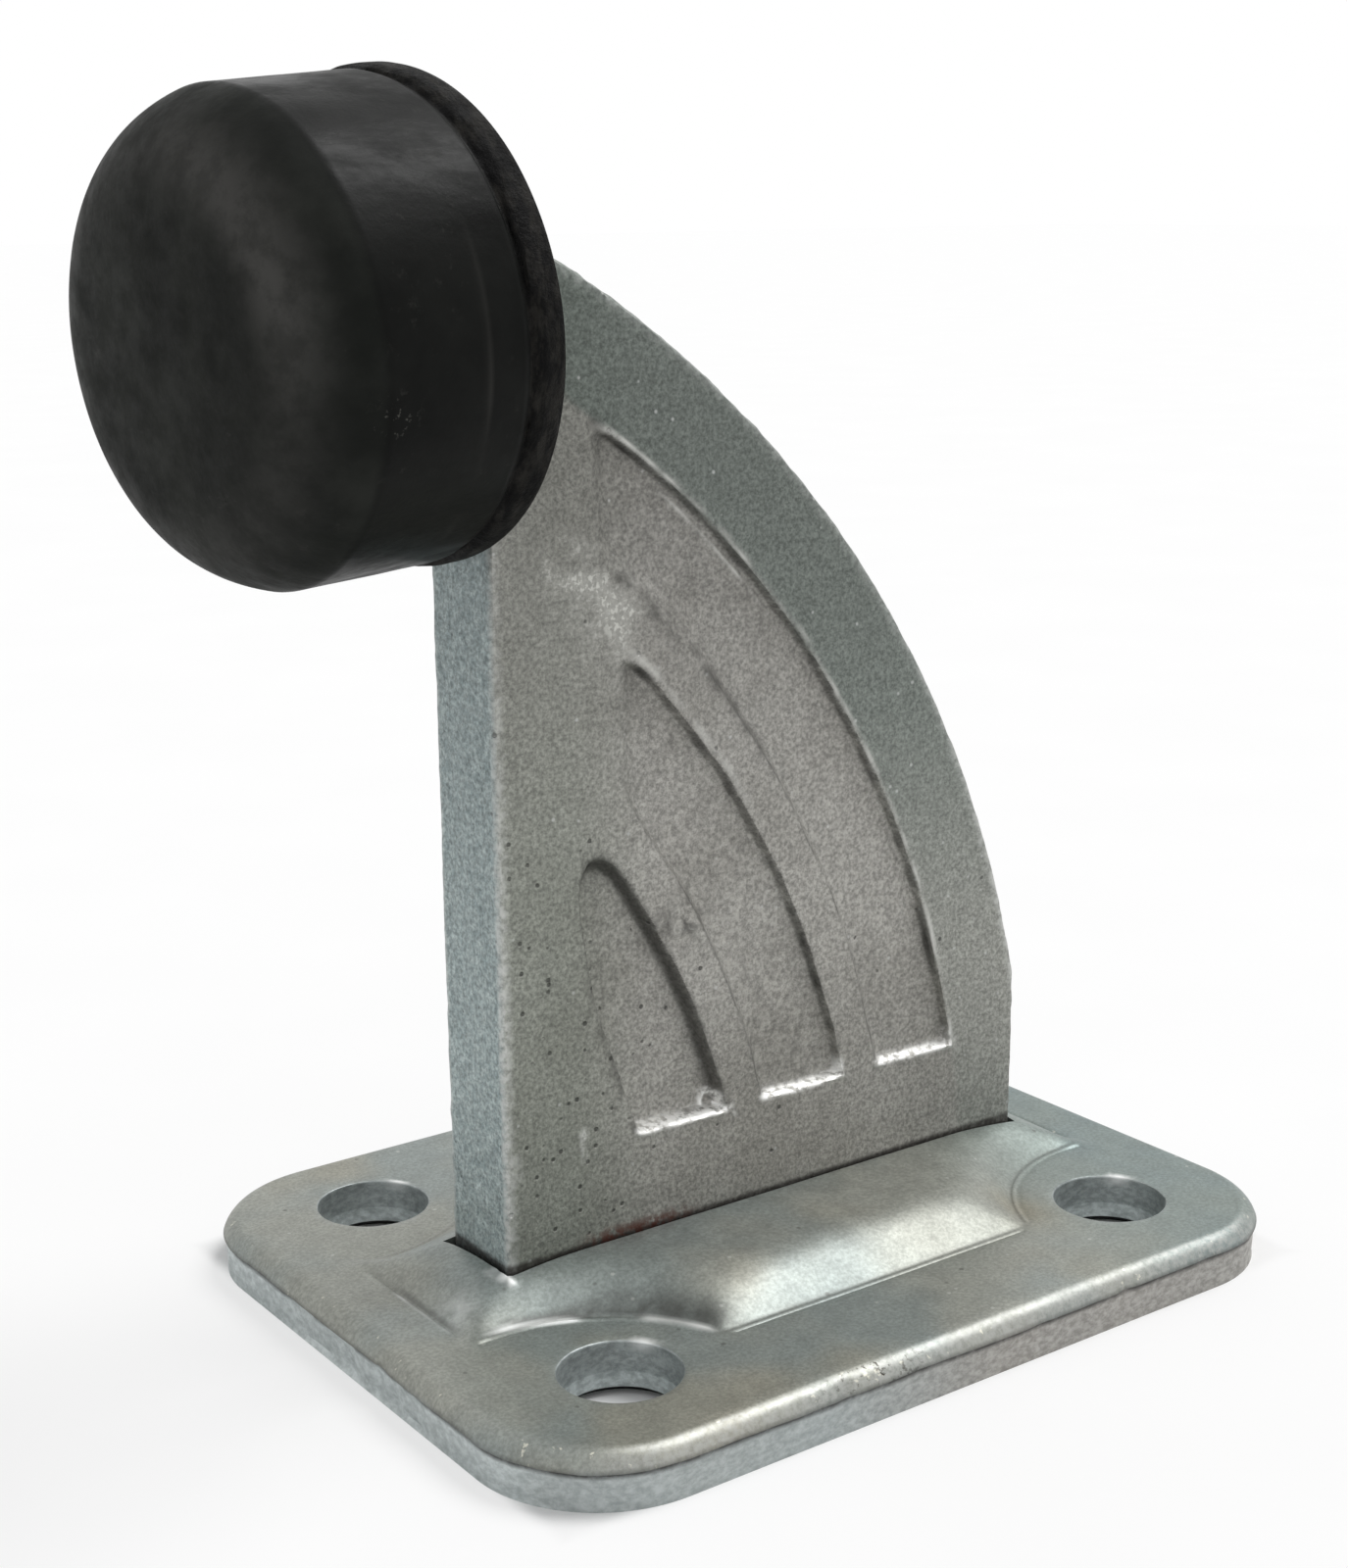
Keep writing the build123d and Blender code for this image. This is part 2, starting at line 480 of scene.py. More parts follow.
def plate_loops(edge_inset, hole_radius):
    """The outlines of the plate, its slot and its bolt holes."""
    holes = [circle_loop(place, hole_radius) for place in bolt_places]
    return [plate_loop(edge_inset), slot_loop(slot_clearance), *holes]


def build_plate_top(shell):
    opening = upper_radius + hole_rim
    margin = rolled_width + 0.4
    coarse, fine = (clear_grid(step, margin, opening + 0.4) for step in (0.8, 0.42))
    coarse_reach, fine_reach = sharp_reach(coarse), sharp_reach(fine)
    coarse = coarse[(coarse_reach < -1.4) | (coarse_reach > 8)]
    fine = fine[(fine_reach > 0.7) & (fine_reach <= 8)]
    return shell.sheet(
        plate_loops(rolled_width, opening),
        np.vstack([foot_rows(foot_offsets), coarse, fine]),
        lambda flat: lift(flat, plate_surface(flat)),
        flip=False,
        keep=lambda middles: outside_cuts(middles, opening),
    )


def build_plate_bottom(shell):
    margin = bottom_break + 0.8
    coarse, fine = clear_grid(1.5, margin, under_radius + 0.8), clear_grid(0.45, margin, under_radius + 0.5)
    coarse_reach, fine_reach = (plinth_reach(grid) - sheet_inset for grid in (coarse, fine))
    coarse = coarse[(coarse_reach < -1.5) | (coarse_reach > 9)]
    fine = fine[(fine_reach > -1.2) & (fine_reach < 8.4)]
    return shell.sheet(
        plate_loops(bottom_break, under_radius),
        np.vstack([coarse, fine]),
        lambda flat: lift(flat, plinth_height(plinth_reach(flat) - sheet_inset, hollow_toe)),
        flip=True,
        keep=lambda middles: outside_cuts(middles, under_radius),
    )


def shear_line(flat):
    """Height of the line where the rolled edge ends and the torn wall begins."""
    return sheared_height + layered(lift(flat, 0), (0.20, 7, 11), (0.09, 2.2, 12))


def edge_rings():
    """Inset and height of the rings down the plate's edge: rolled top, dark notch, torn wall."""
    top, lip = plate_thickness, sheared_height + 0.12
    curve = ((rolled_width, top), (1.15, top - 0.08), (0.45, top - 0.45), (0, lip))
    rings = [tuple(point) for point in bezier(curve, 9)[1:]]
    rings += [(0.14, sheared_height), (sheared_step, sheared_height - 0.15)]
    rings += [(sheared_step, height) for height in (2.9, 2.3, 1.7, 1.1, 0.5)]
    return rings


# Nicks along the plate's edge: place, size and depth
nicks = [
    ((-plate_length / 2, -6.7, 4.3), 0.8, 0.5),
    ((-plate_length / 2, 0.2, 0.9), 0.7, 0.4),
    ((-plate_length / 2, -8.4, 1.2), 0.6, 0.3),
    ((-15.4, -plate_width / 2, 4.3), 0.9, 0.35),
    ((18.8, -plate_width / 2, 3.6), 0.8, 0.35),
    ((15.7, -plate_width / 2, 0.3), 0.7, 0.4),
]


def nick_depth(points):
    """How far the nicks push each point in."""
    return sum(depth * ridge(np.linalg.norm(points - place, axis=1), size) for place, size, depth in nicks)


def edge_push(loop, height):
    """How far each point of a ring on the plate's edge lies outside the smooth edge."""
    ragged = 1 + 1.2 * ramp(loop[:, 0], -43, -45) * ramp(np.abs(loop[:, 1]), 16, 8)
    torn = ragged * (0.09 * noise(loop * (1, 1, 0.4), 1.3, 13) + 0.07 * noise(loop, 3.0, 14) - 0.17)
    wavy = 0.22 * ragged * np.clip(noise(loop * (1, 1, 0), 5.0, 15), -1, 0) * ramp(height, 1.5, 0.4)
    return ramp(height, 3.7, 3.2) * torn + wavy - nick_depth(loop)


def edge_loop(inset, height):
    """One ring of points around the plate's edge."""
    loop = lift(plate_loop(inset), height)
    loop[:, 2] += (shear_line(loop[:, :2]) - sheared_height) * ridge(height - sheared_height, 0.7)
    outward = loop[:, :2] / np.linalg.norm(loop[:, :2], axis=1)[:, None]
    loop[:, :2] += outward * edge_push(loop, height)[:, None]
    return loop


def hole_rings():
    """Radius and height of the rings down a bolt hole: rim, wider upper wall, land and broken bottom edge."""
    rim = [(0.08, 0.03), (0.03, 0.08), (0, 0.2)]
    rings = [(upper_radius + out, plate_thickness - down) for out, down in rim]
    rings += [(upper_radius, height) for height in (4.0, 3.3)]
    rings += [(upper_radius - 0.02, hole_land + 0.3), (land_radius + 0.05, hole_land)]
    rings += [(land_radius, height) for height in (hole_land - 0.4, 1.4, hole_break)]
    return rings + [(bolt_radius + 0.3, hole_break - 0.15), (under_radius - 0.12, 0.14)]


def hole_loop(place, radius, height, seed):
    """One ring of points around a bolt hole's wall."""
    loop = lift(circle_loop(place, radius), height)
    spread = noise(loop * (1, 1, 0.3), 2.4, seed) * 0.05 + noise(loop, 1.0, seed + 1) * 0.025
    loop[:, :2] += (loop[:, :2] - place) / radius * spread[:, None]
    loop[:, 2] += 0.12 * noise(loop * (1, 1, 0), 3.0, seed + 2) * ridge(height - hole_land, 0.3)
    return loop


def drips_and_highlights(points):
    """Bright places on the plate: bare plating drips, and painted highlights as glints on the hole rims, on
    the press lines, along the left end's foot and on the left slope.
    """
    flat = points[:, :2]
    drip = 1.6 * sum(patch(flat, place, (0.45, 0.55)) for place in drip_places)
    around = (np.abs(flat) - (bolt_x, bolt_y)) * np.sign(flat)
    glint = ridge(np.arctan2(around[:, 1], around[:, 0]) - rim_glint, 0.2)
    press = 1.2 * sum(stroke(flat, *values, 0.34) for values in press_highlight_strokes)
    press = np.clip(press + 0.6 * left_end(flat, -0.45, 0.2), 0, 1)
    spots = [
        drip * blotches(points, 0.6, 0.7, 19),
        ridge(hole_distance(flat) - upper_radius - 0.12, 0.2) * glint,
        press * np.clip(0.75 + 0.6 * noise(points, 2.2, 16), 0, 1),
        0.25 * patch(flat, left_slope_highlight_place, (1.5, 2.2)) * blotches(points, 0.6, 1.0, 17),
    ]
    on_top = ramp(points[:, 2], plate_thickness - 0.5, plate_thickness - 0.1)
    return np.clip(np.maximum.reduce(spots), 0, 1) * on_top


def scallop_smudge_and_shade(points):
    """The dark lower slope around the front near scallop, wider towards its right end: a dark smudge with a
    painted dark reflection.
    """
    out = points[:, :2] + (scallop_x, scallop_y)
    angle = np.degrees(np.arctan2(out[:, 1], out[:, 0]))
    gap = np.hypot(*out.T) - scallop_radius
    width = 1.4 + 2.4 * ramp(angle, 75, 40)
    along = between(angle, 14, 26, 70, 96)
    blotch = np.clip(0.85 + layered(points, (0.35, 1.4, 18), (0.35, 0.6, 20)), 0, 1)
    return between(gap, 0.0, 0.4, 0.25 * width, width) * along * blotch


def edge_marks(points):
    """Marks on the plate's edge: torn wall, painted shade along the shear line and in the nicks, rolled top,
    its flaked places and the painted highlight on its near side.
    """
    flat, height = points[:, :2], points[:, 2]
    top = plate_thickness
    off_holes = ramp(hole_distance(flat), 7.0, 7.5)
    dents = nick_depth(points)
    # Painted shade along the shear line, under the rolled edge's lip, and in the nicks.
    shear_shade = ridge(height - shear_line(flat) + 0.06, 0.24) * off_holes * ramp(dents, 0.3, 0.1)
    roll = between(height, sheared_height, sheared_height + 0.2, top - 0.1, top - 0.01)
    return {
        "wall": ramp(height, sheared_height + 0.1, sheared_height - 0.1) * off_holes,
        "shear_shade": np.maximum(shear_shade, ramp(dents, 0.2, 0.4)),
        "roll": roll * off_holes,
        "flake": roll * ridge(flat[:, 0] + 12, 5) * ramp(flat[:, 1], -33, -34),
        # Painted highlight on the near side's rolled edge.
        "near_roll_highlight": roll * ramp(flat[:, 1], -31, -34),
    }


def top_marks(points):
    """Marks on the plate's top and in its bolt holes."""
    flat, height = points[:, :2], points[:, 2]
    from_hole = hole_distance(flat)
    on_top = ramp(height, plate_thickness - 0.2, plate_thickness - 0.05)
    end, _, scallop = plinth_sides(flat)
    soft_corner = 1 - ridge(np.hypot(end, scallop), corner_reach)
    # Dark smudges with painted dark reflection on the scallop's slope, and painted shade along the left end's
    # foot.
    smudge_and_shade = scallop_smudge_and_shade(points) + stroke(flat, *dark_stroke, 0.22) + 0.7 * left_end(flat, 0.1, 0.2)
    return {
        # Painted shade along the plinth's foot line, except at the soft corners.
        "crease_shade": ridge(sharp_reach(flat) + 0.05, 0.3) * on_top * soft_corner,
        "hole": ramp(from_hole, upper_radius + 0.16, upper_radius + 0.08),
        # Painted shade: the holes' broken-out bottom edge, painted black.
        "breakout_shade": ramp(height, hole_break, hole_break - 0.1) * ramp(under_radius - from_hole, 0.02, 0.1),
        "smudge_and_shade": np.clip(smudge_and_shade, 0, 1) * on_top,
        "warm": patch(flat, warm_place, (3.0, 4.0)) * on_top,
        # Bare plating drips and painted highlights.
        "drip_and_highlight": drips_and_highlights(points),
    }


def build_plate(material):
    shell = Shell()
    top_edge, top_slot, *top_holes = build_plate_top(shell)
    bottom_edge, bottom_slot, *bottom_holes = build_plate_bottom(shell)
    shell.bridge(top_edge, [edge_loop(*ring) for ring in edge_rings()], bottom_edge)
    shell.strip(top_slot, bottom_slot)
    for number, (place, top, bottom) in enumerate(zip(bolt_places, top_holes, bottom_holes)):
        seed = 21 + 5 * number
        loops = [hole_loop(place, *ring, seed) for ring in hole_rings()]
        shell.bridge(top, loops, bottom, flip=True)
    marks = edge_marks(shell.points) | top_marks(shell.points)
    make_piece("plate_body", shell, "base_plate", material, marks, sharp_angle=38)


# Upright web

def find_arch_centre():
    """Centre of the arch that runs from the top of the front edge to the top of the back edge."""
    front_top = np.array([web_front, web_height])
    back_top = np.array([web_back, web_back_height])
    half_chord = np.linalg.norm(back_top - front_top) / 2
    outward = np.array([web_height - web_back_height, web_back - web_front]) / (2 * half_chord)
    return (front_top + back_top) / 2 - outward * math.sqrt(arch_radius ** 2 - half_chord ** 2)


arch_centre = find_arch_centre()


def arch_distance(flat):
    """Distance of places on the web's face from the centre of its arch."""
    return np.hypot(*(flat - arch_centre).T)


def web_outline(step):
    """Points and outward directions around the web's outline, anticlockwise seen from the near side."""
    corner_x = web_front + web_top_corner
    inner = arch_radius - web_top_corner
    corner = np.array([corner_x, arch_centre[1] + math.sqrt(inner ** 2 - (corner_x - arch_centre[0]) ** 2)])
    joint = math.atan2(*(corner - arch_centre)[::-1])
    start = math.atan2(web_back_height - arch_centre[1], web_back - arch_centre[0])
    points = np.vstack([
        spaced((web_front, web_foot), (web_back, web_foot), 1.5),
        spaced((web_back, web_foot), (web_back, web_back_height), step),
        arc(arch_centre, arch_radius, start, joint, step),
        arc(corner, web_top_corner, joint, math.pi, step),
        spaced((web_front, corner[1]), (web_front, web_foot), step),
    ])
    tangent = np.roll(points, -1, axis=0) - np.roll(points, 1, axis=0)
    outward = np.stack([tangent[:, 1], -tangent[:, 0]], 1)
    return points, outward / np.linalg.norm(outward, axis=1)[:, None]


def groove_radius(index):
    """Radius of a groove's outer wall, counted from the back of the web."""
    return arch_radius - groove_rim - index * (groove_width + groove_rib)


def groove_sides(flat, index):
    """Distances inside one groove from its outer wall, inner wall and bottom, with a rounded upper end."""
    outer = groove_radius(index) - arch_distance(flat)
    upper = flat[:, 0] - web_front - groove_front_margin
    walls = [rounded_least(gap, upper, groove_corners[index]) for gap in (outer, groove_width - outer)]
    return *walls, flat[:, 1] - groove_bottom


def groove_edge(flat):
    """The distance from the nearest groove edge, without sign."""
    nearest = np.full(len(flat), 1e3)
    for index in range(groove_count):
        nearest = np.minimum(nearest, np.abs(np.minimum.reduce(groove_sides(flat, index))))
    return nearest


# Distances inside a groove's outer wall, inner wall and bottom where the mesh has rows of points
outer_rows = (-0.6, -0.3, -0.1, 0.0, 0.12, 0.28, 0.45, 0.65, 0.9, 1.2)
inner_rows = (-0.5, -0.2, 0.0, 0.2, 0.45, 0.8)
bottom_rows = (-0.5, -0.25, -0.05, 0.1, 0.3, 0.5, 0.75)


def groove_rows(step=0.34):
    """Rows of points along the groove walls, so that the mesh follows them."""
    left = web_front + groove_front_margin - arch_centre[0]
    low = groove_bottom - arch_centre[1]
    rows = []
    for index in range(groove_count):
        outer, inner = groove_radius(index), groove_radius(index) - groove_width
        radii = [outer - offset for offset in outer_rows] + [inner + offset for offset in inner_rows]
        for radius in radii:
            start, end = math.asin((low + 1) / radius), math.acos(left / radius)
            rows.append(arc(arch_centre, radius, start, end, step))
        ends = [arch_centre[0] + math.sqrt(radius ** 2 - low ** 2) for radius in (inner, outer)]
        for offset in bottom_rows:
            height = groove_bottom + offset
            rows.append(spaced((ends[0] - 0.6, height), (ends[1] + 0.6, height), step))
    return np.vstack(rows)


def off_rows(flat):
    """True for places clear of the rows along the groove walls."""
    clear = np.ones(len(flat), bool)
    for index in range(groove_count):
        outer = groove_radius(index) - arch_distance(flat)
        clear &= (outer < outer_rows[0] - 0.2) | (outer > outer_rows[-1] + 0.2)
        inner = groove_width - outer
        clear &= (inner < inner_rows[0] - 0.2) | (inner > inner_rows[-1] + 0.2)
    beside = (flat[:, 0] < web_front + groove_front_margin) | (flat[:, 1] < groove_bottom)
    low = np.abs(flat[:, 1] - groove_bottom) < 1.0
    return (clear | beside) & ~low


# Marks on the web's faces: middle and reach along X and Z
smear_places, smear_reach = [(-23.0, 72.2), (-19.6, 69.6), (-17.0, 66.8)], (2.4, 2.6)
spill_place, spill_reach = (-10.0, 37.8), (3.2, 2.6)
drop_place, drop_radius = (-6.8, 18.9), 0.85
knot_place, knot_reach = (-19.3, 84.6), (1.1, 0.8)
knee_place, knee_reach = (-13.4, 37.6), (1.2, 1.6)
# Where the upper ends of the grooves fade in along X
groove_starts = ((-20.6, -17.8), (-18.0, -15.0), (-40.0, -39.0))


def groove_depth_at(flat, index, jitter):
    """How deep one groove is at each place."""
    outer, inner, bottom = (gap + jitter for gap in groove_sides(flat, index))
    fall = 1 - (1 - np.clip(outer / groove_wall_widths[index], 0, 1)) ** 2
    softness = 0.9 + (2.5 * ramp(flat[:, 1], 58, 68) if index == 0 else 0)
    rise = ramp(inner, -0.1, softness) * ramp(bottom, -0.1, 0.6)
    return groove_depths[index] * fall * rise * ramp(flat[:, 0], *groove_starts[index])


def inner_line(index, at, height, inner):
    """The thin dark line along a groove's inner edge. The first and last grooves have a wider dark band on
    it.
    """
    thin = ridge(inner - 0.1, 0.16) * blotches(at, 0.7, 3.0, 37)
    if index == 0:
        band = ridge(inner - 0.3, 0.7) * between(height, 46, 56, 71, 75) * blotches(at, 0.6, 1.2, 40)
        thin = np.maximum(thin * ramp(height, 66, 58), band)
    if index == groove_count - 1:
        stain = ridge(inner + 0.2, 0.7) * ramp(height, 38, 31) * blotches(at, 0.5, 1.3, 45)
        thin = np.maximum(thin, 0.8 * stain)
    return thin


def outer_glint(index, height, outer):
    """Bright lines along the outer edge of the first two grooves."""
    if index == 0:
        inside = ridge(outer - 1.0, 0.16) * between(height, 63, 67, 77, 80)
        return np.maximum(ridge(outer + 0.3, 0.22), inside)
    if index == 1:
        return 0.7 * ridge(outer + 0.6, 0.4) * ramp(height, 44, 52)
    return np.zeros(len(outer))


def groove_marks(flat, index, at, jitter):
    """Strength of one groove's outer wall with painted shade and dirt, thin inner edge, raised burrs with
    painted highlight and painted glints along the outer edge.
    """
    outer, inner, bottom = (gap + jitter for gap in groove_sides(flat, index))
    last = index == groove_count - 1
    width = groove_wall_widths[index]
    started = ramp(flat[:, 0], *groove_starts[index])
    within = ramp(np.minimum(inner, bottom), -0.2, 0.3) * started
    broken = np.clip(0.55 + 0.75 * noise(at, 1.6, 36), 0.1, 1.2)
    near_arch = ramp(groove_radius(index) - arch_distance(flat), 4.6, 2.6)
    # Painted shade and dirt on the outer wall.
    wall = ridge(outer - 0.4 * width, 0.6 * width) * within * near_arch * (1 if last else broken)
    line = inner_line(index, at, flat[:, 1], inner) * ramp(np.minimum(outer, bottom), -0.1, 0.4) * started
    # Raised burrs along the bottom and in the outer corner, which also get a painted highlight.
    foot = ridge(bottom - 0.2, 0.36) * ramp(np.minimum(outer, inner), -0.5, 0.1)
    corner = ridge(outer, 0.3) * between(bottom, -0.4, 0.0, 1.0, 2.6) * (not last)
    glint = outer_glint(index, flat[:, 1], outer) * within * broken
    return wall, line, np.maximum(foot, corner), glint


def near_spots(flat, at):
    """Strength of the near face's single marks: smear, spill, its rough spots, drop, knot and knee."""
    smear = sum(patch(flat, place, smear_reach) for place in smear_places)
    spill = patch(flat, spill_place, spill_reach)
    return (
        np.clip(smear * (0.5 + noise(at, 1.5, 38)), 0, 1),
        spill * blotches(at, 0.3, 1.1, 39),
        spill * ramp(noise(at, 0.9, 28), -0.1, 0.4),
        ridge(np.hypot(*(flat - drop_place).T) - drop_radius, 0.3),
        patch(flat, knot_place, knot_reach) * blotches(at, 0.4, 0.8, 30),
        patch(flat, knee_place, knee_reach) * blotches(at, 0.6, 1.0, 27),
    )


def web_relief(flat, side):
    """Depth of places on the web's face below its plane, and marks that the material reads."""
    at = lift(flat, side * 7.0)
    jitter = layered(at, (0.22, 6.5, 29), (0.08, 2.2, 31), (0.05, 0.9, 32))
    indices = range(groove_count)
    depth = np.maximum.reduce([groove_depth_at(flat, index, jitter) for index in indices])
    wall, line, burr_highlight, glint = np.maximum.reduce([groove_marks(flat, index, at, jitter) for index in indices])
    smear, spill, rough, drop, knot, knee = (spot * (side < 0) for spot in near_spots(flat, at))
    depth -= 0.22 * burr_highlight * np.clip(0.4 + 0.9 * noise(at, 1.2, 33), 0, 1)
    depth -= 0.10 * smear + 0.30 * spill + 0.25 * drop + 0.05 * glint - 0.3 * knot
    depth -= layered(at, (0.04, 9, 34), (0.012, 2.0, 35))
    return depth, {
        # Painted shade and dirt on the grooves' outer walls, with dark pits and rough spots.
        "wall": np.maximum.reduce([wall, knot, rough, knee]),
        "line": line,
        # Raised burrs and the drop's ring, painted as highlights.
        "burr_highlight": np.maximum(burr_highlight, 0.9 * drop),
        "glint": glint,
        "smear": np.maximum(smear, 0.6 * spill),
    }


def web_grid(step):
    """Grid points on the web's face, clear of its outline."""
    grid = staggered((web_front, web_foot), (web_back, web_height), step)
    margin = web_chamfer + 0.35
    clear = (grid[:, 0] > web_front + margin) & (grid[:, 0] < web_back - margin)
    return grid[clear & (grid[:, 1] > web_foot + margin) & (arch_distance(grid) < arch_radius - margin)]


def buffer_matrix():
    """Frame of the buffer's axis: its Z runs towards the nose, from the middle of the web's front edge."""
    turn, droop = math.radians(buffer_turn), math.radians(buffer_droop)
    flat = Vector((-math.cos(turn), -math.sin(turn), 0))
    axis = Matrix.Rotation(-droop, 3, "Y") @ flat
    across = axis.cross(Vector((0, 0, 1))).normalized()
    frame_rows = Matrix((across, axis.cross(across), axis)).transposed()
    return np.array(frame_rows), np.array([web_front, 0, axis_height])


def sink_bore(grid):
    """Pushes a block of the front edge's grid in, so that it forms the bore for the stud. Works in place."""
    turned, origin = buffer_matrix()
    reach = (1, bore_radius, bore_radius)
    rows, columns = np.nonzero((np.abs(grid - origin) < reach).all(axis=2))
    ends = [np.minimum(side - side.min(), side.max() - side) for side in (rows, columns)]
    level = np.minimum(*ends)
    across = ((grid[rows, columns] - origin) * (0, 1, 1)) @ turned[:, :2]
    across /= np.linalg.norm(across, axis=1)[:, None]
    radius = bore_radius * (1 - np.clip(level - 1, 0, None) / level.max())
    local = lift(across * radius[:, None], -bore_depth)
    mouth = (mouth_depth - local[:, :2] @ turned[0, :2]) / turned[0, 2]
    local[:, 2] = np.where(level > 0, local[:, 2], mouth)
    grid[rows, columns] = local @ turned.T + origin


def web_rings(outline, outward):
    """Rings of points around the web's edge, from its near to its far face, with the stud's bore sunk in."""
    rings = []
    for across in np.linspace(-web_half + web_chamfer, web_half - web_chamfer, web_edge_rings):
        rough = layered(upright(outline, across), (0.07, 1.5, 43), (0.05, 0.8, 44)) - 0.09
        rings.append(upright(outline + outward * rough[:, None], across))
    grid = np.array(rings)
    sink_bore(grid)
    return grid


def web_marks(points):
    """Numbers for each point that the web's material reads."""
    flat, across = points[:, [0, 2]], points[:, 1]
    on_face = ramp(np.abs(across), web_half - 2.2, web_half - 2.0)
    near, far = web_relief(flat, -1)[1], web_relief(flat, 1)[1]
    marks = {name: np.where(across < 0, near[name], far[name]) * on_face for name in near}
    edge_gap = np.minimum(flat[:, 0] - web_front, arch_radius - arch_distance(flat))
    rim_start = arch_radius - groove_rim
    return marks | {
        "edge": ridge(edge_gap - 0.3, 0.45) * ramp(np.abs(across), web_half - 0.8, web_half - 0.3),
        "front": ramp(flat[:, 0], web_front + 0.35, web_front + 0.15),
        "rim": ramp(arch_distance(flat), rim_start - 0.3, rim_start + 0.5),
    }


def build_web_face(shell, loop, inner, side):
    def place(flat):
        return upright(flat, side * (web_half - web_relief(flat, side)[0]))

    return shell.sheet([loop], inner, place, flip=side > 0)[0]


def build_web(material):
    shell = Shell()
    outline, outward = web_outline(0.45)
    coarse, fine = web_grid(0.75), web_grid(0.36)
    coarse = coarse[groove_edge(coarse) > 1.5]
    fine = fine[groove_edge(fine) <= 1.5]
    inner = np.vstack([coarse[off_rows(coarse)], fine[off_rows(fine)], groove_rows()])
    chips = np.clip(layered(lift(outline, 0), (1, 1.6, 41), (0.4, 0.7, 42)), -0.6, 1)
    loop = outline - outward * (web_chamfer + 0.12 * chips)[:, None]
    near, far = (build_web_face(shell, loop, inner, side) for side in (-1, 1))
    shell.bridge(near, web_rings(outline, outward), far)
    make_piece("web_body", shell, "web_plate", material, web_marks(shell.points))


# Rubber buffer

def nose_profile():
    """Radius and height over the nose: a round edge that runs into a nearly flat face."""
    tip = body_length + nose_length
    sphere = (nose_face_radius ** 2 + nose_face_rise ** 2) / (2 * nose_face_rise)
    turn = math.asin(nose_face_radius / sphere)
    start = np.array([body_radius_front, body_length])
    end = np.array([nose_face_radius, tip - nose_face_rise])
    knee = end + nose_edge_bulge * np.array([math.cos(turn), -math.sin(turn)])
    t = np.linspace(0, 1, 34)[:, None]
    edge = (1 - t) ** 2 * start + 2 * t * (1 - t) * knee + t ** 2 * end
    angles = np.linspace(turn, 0.4 / sphere, 16)[1:]
    face = np.stack([sphere * np.sin(angles), tip - sphere + sphere * np.cos(angles)], 1)
    return np.vstack([edge, face])


def pocket_profile():
    """Radius and height of the pocket for the stud's head and collar, from its bottom to the rear face."""
    bottom = stud_head_depth + stud_head_thickness
    corners = [
        (0.5, bottom),
        (stud_head_radius, bottom),
        (stud_head_radius, stud_head_depth),
        (stud_collar_radius, stud_head_depth),
        (stud_collar_radius, 0),
    ]
    return np.vstack([spaced(a, b, 1.5) for a, b in zip(corners, corners[1:])])


def buffer_profile():
    """Radius and height along the buffer, from the rear face round the lip and the body to the nose."""
    corners = [
        (lip_radius - 0.5, 0.0),
        (lip_radius - 0.1, 0.15),
        (lip_radius - 0.02, 0.6),
        (lip_radius - 0.02, lip_thickness - 0.7),
        (lip_radius - 0.12, lip_thickness - 0.25),
        (body_radius_rear - 0.22, lip_thickness + 0.05),
        (body_radius_rear - 0.20, lip_thickness + 0.25),
        (body_radius_rear - 0.02, lip_thickness + 0.7),
    ]
    nose = nose_profile()
    rows = [spaced((stud_collar_radius, 0), corners[0], 1.5)]
    rows += [spaced(a, b, 0.25) for a, b in zip(corners, corners[1:])]
    rows += [spaced(corners[-1], nose[0], 0.4), nose]
    return np.vstack(rows)


def buffer_marks(local):
    """Numbers for each point of the buffer, in its own frame, that its material reads."""
    radius = np.hypot(local[:, 0], local[:, 1])
    height = local[:, 2]
    # Painted sheen on the nose's rounded edge, stronger on one side.
    painted_edge_sheen = ridge(radius - 15.4, 2.4) * ramp(height, body_length + 1.5, body_length + 4)
    below = ramp(local[:, 1], 6, -6) * ramp(local[:, 0], 4, -8)
    return {
        "lip": ramp(height, lip_thickness + 0.5, lip_thickness + 0.1) * ramp(radius, 18.5, 19.2),
        "nose": ramp(height, body_length - 0.4, body_length + 1.0),
        "painted_edge_sheen": painted_edge_sheen * (0.35 + 0.65 * below),
        "scuff": patch(local, scuff_place, scuff_reach),
        "band": ridge(height - 7.4, 0.22) * ramp(radius, 18, 19) * blotches(local, 0.3, 5, 56),
    }


def buffer_rings(profile, loose):
    """Rings around the buffer's axis, one for each profile point. Loose ones swell, with a ragged lip."""
    angles = np.arange(buffer_segments) * 2 * math.pi / buffer_segments
    around = np.stack([np.cos(angles), np.sin(angles), 0 * angles], 1)
    flash = ridge(profile[:, 1] - lip_thickness + 0.3, 0.4) * (profile[:, 0] > lip_radius - 0.5)
    rings = []
    for (radius, height), torn, free in zip(profile, flash, loose):
        circle = radius * around + (0, 0, height)
        swell = layered(circle, (0.05, 9, 51), (0.02, 2.5, 52)) - 0.03
        swell += torn * (layered(circle, (0.14, 1.3, 53), (0.12, 4, 54)) - 0.14)
        moved = circle + around * (free * swell * min(1.0, radius / 8))[:, None]
        moved[:, 2] += torn * layered(circle, (0.30, 1.4, 55), (0.2, 4, 57))
        rings.append(moved)
    return rings


